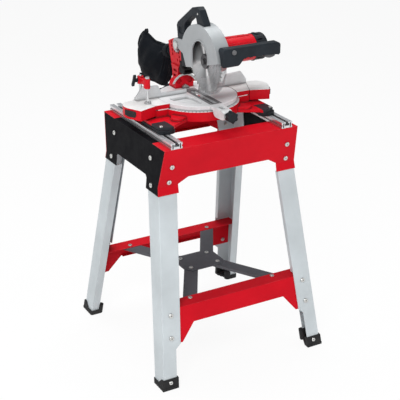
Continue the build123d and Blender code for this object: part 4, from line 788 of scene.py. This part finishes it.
def make_zip(seam):
    """Zip along the low seam: tape, teeth, slider and pull."""
    line = [p + Vector((0, 0, -0.0018)) for p in seam[8:-6]]
    tape = ((-0.011, 0.0012), (0, -0.0004), (0.011, 0.0012), (0.011, 0.0004), (0, -0.0013),
            (-0.011, 0.0004))
    piece("bag_zip_tape", *stack([placed(tape, p) for p in line]), "webbing", "column")
    tooth = ((-0.0019, 0), (0.0019, 0), (0.0014, -0.0012), (-0.0014, -0.0012))
    teeth = []
    for a, b in zip(line, line[1:]):
        half = (b - a).normalized() * 0.0004
        for n in range(3):
            c = a.lerp(b, (n + 0.5) / 3) + Vector((0.0006 if n % 2 else -0.0006, 0, -0.0014))
            teeth.append(stack([placed(tooth, c - half), placed(tooth, c + half)]))
    piece("bag_zip_teeth", *merge(teeth), "black", "column", False)
    c = line[-3] + Vector((0, 0, -0.002))
    knob = [(-0.001, 0.001), (0, 0.004), (0.002, 0.0042), (0.0035, 0.003), (0.0045, 0.0008)]
    drop = [c + Vector((0, y, z)) for y, z in ((0, -0.004), (0.004, -0.011), (0.005, -0.024))]
    parts = [lathe(c, (0, 0, -1), knob, 16), tube(drop, (0.001, 0.0022, 0.0026), 10)]
    piece("bag_zip_slider", *merge(parts), "zinc", "column")


def make_bag():
    """Cloth skin in place of the CAD's bag, with what is sewn on it."""
    pts = bag_points()
    faces = bag_faces()
    pts = sag(pts, faces)
    pts = creased(pts)
    shell = piece("bag_shell", pts, faces, "cloth", "column")
    smooth = shell.modifiers.new("smooth", "SUBSURF")
    smooth.levels = 1
    smooth.render_levels = 1
    thick = shell.modifiers.new("hem", "SOLIDIFY")
    thick.thickness = 0.0011
    thick.offset = -1
    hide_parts("dust_bag")
    # piping over the seam, all the way round the two panels
    top, low = [[pts[i * AROUND + k] for i in range(SEAM_START, ALONG)] for k in (TOP_SEAM, LOW_SEAM)]
    seam = top + low[::-1]
    centre = sum(seam, Vector()) / len(seam)
    piping = [p + (p - centre).normalized() * 0.0008 for p in seam]
    piece("bag_piping", *tube(piping, [0.0017] * len(piping), 8), "webbing", "column")
    make_stitches(pts, centre)
    make_cuff()
    make_loop(max(pts, key=lambda p: p.z))
    make_zip(low)


make_bag()

TEETH = 48
# corners of a carbide tip: radius, lag behind its front face and half width, in metres
CARBIDE = ((0.1008, 0.0, 0.00145), (0.1051, 0.0, 0.00162), (0.1049, 0.0021, 0.0015),
           (0.1008, 0.0026, 0.0013))


def make_tips():
    """Carbide tips on the blade's teeth."""
    parts = []
    for turn in angles(TEETH):
        sides = [[], []]
        for radius, lag, half in CARBIDE:
            t = turn + lag / radius
            corner = BLADE_AT + Vector((0, radius * math.cos(t), radius * math.sin(t)))
            sides[0].append(corner - Vector((half, 0, 0)))
            sides[1].append(corner + Vector((half, 0, 0)))
        parts.append(stack(sides))
    piece("blade_tips", *merge(parts), "carbide", "saw_blade", False)


# Outer corner of the right extension, seen from above, in millimetres
BUMPER_LINE = ((250.5, -38), (253, -33), (256, -27), (259.5, -20), (263, -13), (264.2, -4), (265, 4),
               (265.3, 9))


def make_bumper(name, side, body):
    """Rubber bumper with two grooves round the outer corner of a table extension."""
    last = len(BUMPER_LINE) - 1
    sections = []
    for n, (x, y) in enumerate(BUMPER_LINE):
        before = BUMPER_LINE[max(n - 1, 0)]
        after = BUMPER_LINE[min(n + 1, last)]
        dx = after[0] - before[0]
        dy = after[1] - before[1]
        run = math.hypot(dx, dy)
        # the bumper tapers to both ends
        out, lo, hi = (1.0, 850, 862) if n in (0, last) else (5.2, 845, 864)
        sunk = -2.0
        groove = out - 0.9
        profile = ((sunk, lo), (out * 0.7, lo), (out, lo + 2), (out, lo + 5.5), (groove, lo + 6.5),
                   (out, lo + 7.5), (out, lo + 11.5), (groove, lo + 12.5), (out, hi - 5.5), (out, hi - 2),
                   (out * 0.7, hi), (sunk, hi))
        sections.append([at(side * (x + dy / run * d), y - dx / run * d, z) for d, z in profile])
    obj = piece(name, *stack(sections), "rubber", body, False)
    bevel = obj.modifiers.new("round", "BEVEL")
    bevel.width = 0.0006
    bevel.segments = 2
    bevel.angle_limit = math.radians(40)


def knurl(t, distance):
    """Ridges round the rim of a thumb screw."""
    return 0.0005 * math.cos(18 * t) if 0.004 < distance < 0.0125 else 0.0


def make_thumb(name, place):
    """Knurled thumb screw behind the carry handle."""
    profile = [(-0.004, 0.0005), (-0.004, 0.0032), (0.003, 0.0032), (0.0035, 0.0062), (0.0045, 0.0072),
               (0.012, 0.0072), (0.0132, 0.0062), (0.0134, 0.0034), (0.0128, 0.003), (0.0128, 0.0005)]
    piece(name, *lathe(place, (0, 1, 0.25), profile, 72, knurl), "black", "head")


def make_screws():
    """Socket screws in the motor's end cap and the carry handle."""
    heads = []
    lo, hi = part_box("motor_cap")
    middle = Vector((hi[0] - 0.0002, (lo[1] + hi[1]) / 2, (lo[2] + hi[2]) / 2))
    for degrees in (30, 150, 270):
        t = math.radians(degrees)
        heads.append(screw_head(middle + Vector((0, math.cos(t), math.sin(t))) * 0.024, (1, 0, 0), 0.0036))
    lo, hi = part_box("carry_handle")
    for y, z, depth in ((-40, 1103, 0.0), (-28, 1150, 0.0), (84, 1062, 0.006)):
        spot = at(0, y, z)
        spot.x = lo[0] + depth
        heads.append(screw_head(spot, (-1, 0, 0), 0.0034))
    piece("head_socket_screws", *merge(heads), "zinc", "head")


NUMBER_R = 0.1375
NUMBER_Z = 0.85405        # just proud of the ring
NUMBER_SIZE = 0.0056


def make_numbers():
    """Plain numbers beside the degree marks of the mitre ring."""
    for degrees in range(-45, 46, 15):
        t = math.radians(degrees)
        text = bpy.data.curves.new("mitre_%d" % (degrees + 45), "FONT")
        text.body = str(abs(degrees))
        text.size = NUMBER_SIZE
        text.extrude = 0.00008
        text.align_x = "CENTER"
        text.align_y = "CENTER"
        flat = bpy.data.objects.new("flat", text)
        scene.collection.objects.link(flat)
        mesh = bpy.data.meshes.new_from_object(flat.evaluated_get(bpy.context.evaluated_depsgraph_get()))
        bpy.data.objects.remove(flat)
        spot = CENTRE + Vector((NUMBER_R * math.sin(t), -NUMBER_R * math.cos(t), NUMBER_Z - TABLE_Z))
        mesh.transform(Matrix.Translation(spot) @ Matrix.Rotation(t, 4, "Z"))
        obj = bpy.data.objects.new("mitre_number_%d" % (degrees + 45), mesh)
        scene.collection.objects.link(obj)
        dress(obj, MATS["black"])
        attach(obj, "stand")


make_tips()
make_bumper("bumper_left", -1, "extension_left")
make_bumper("bumper_right", 1, "extension_right")
make_thumb("thumb_screw_high", at(-8, 113, 1079))
make_thumb("thumb_screw_low", at(-8, 108, 1047))
make_screws()
make_numbers()


# Floor, backdrop and light
def make_floor():
    """Floor that looks nearly white and still takes a faint shadow."""
    half = 20
    corners = [(-half, -half, 0), (half, -half, 0), (half, half, 0), (-half, half, 0)]
    mesh = bpy.data.meshes.new("floor")
    mesh.from_pydata(corners, [], [(0, 1, 2, 3)])
    obj = bpy.data.objects.new("floor", mesh)
    scene.collection.objects.link(obj)
    m = Mat("pale_floor", (0.86, 0.86, 0.86), 0.8)
    m.done(m.mix(m.share(m.noise(3.0)), (0.84, 0.84, 0.84), (0.88, 0.88, 0.88)))
    path = m.node("ShaderNodeLightPath").outputs
    seen = m.math("MAXIMUM", path["Is Camera Ray"], path["Is Glossy Ray"])
    seen = m.math("MAXIMUM", seen, path["Is Transmission Ray"])
    glow = m.node("ShaderNodeEmission", {"Color": (1, 1, 1, 1), "Strength": 1.0})
    ins = {0: m.times(seen, 0.92), 1: m.shader.outputs[0], 2: glow.outputs[0]}
    surface = m.node("ShaderNodeMixShader", ins).outputs[0]
    m.feed(m.tree.nodes["Material Output"].inputs[0], surface)
    dress(obj, m.material)


def make_backdrop():
    """Faint light all round; beyond the floor the camera sees white, which lights nothing."""
    world = bpy.data.worlds.new("studio")
    scene.world = world
    world.use_nodes = True
    tree = world.node_tree
    faint = tree.nodes["Background"]
    faint.inputs[0].default_value = (0.95, 0.97, 1.0, 1)
    faint.inputs[1].default_value = 0.27
    white = tree.nodes.new("ShaderNodeBackground")
    white.inputs[0].default_value = (1, 1, 1, 1)
    path = tree.nodes.new("ShaderNodeLightPath")
    either = tree.nodes.new("ShaderNodeMath")
    either.operation = "MAXIMUM"
    pick = tree.nodes.new("ShaderNodeMixShader")
    tree.links.new(path.outputs["Is Camera Ray"], either.inputs[0])
    tree.links.new(path.outputs["Is Transmission Ray"], either.inputs[1])
    for i, source in enumerate((either, faint, white)):
        tree.links.new(source.outputs[0], pick.inputs[i])
    tree.links.new(pick.outputs[0], tree.nodes["World Output"].inputs[0])


def softbox(name, place, aim, size, watts):
    """Rectangular lamp at a place, aimed at a point."""
    data = bpy.data.lights.new(name, "AREA")
    data.shape = "RECTANGLE"
    data.size, data.size_y = size
    data.energy = watts
    obj = bpy.data.objects.new(name, data)
    obj.location = place
    obj.rotation_euler = (Vector(aim) - Vector(place)).to_track_quat("-Z", "Y").to_euler()
    scene.collection.objects.link(obj)


make_floor()
make_backdrop()
softbox("key", (-2.3, -2.4, 3.3), (0, 0, 0.6), (2.0, 2.0), 118)
softbox("side", (-3.4, 0.1, 1.5), (0, 0, 0.9), (1.6, 1.6), 16)
softbox("fill", (2.9, -2.2, 1.7), (0, 0, 0.6), (1.8, 1.8), 26)
softbox("top", (0.3, 0.9, 3.6), (0, 0, 0.8), (2.4, 1.8), 74)
softbox("front", (-0.4, -3.4, 0.4), (0, -0.2, 0.2), (1.6, 0.8), 12)
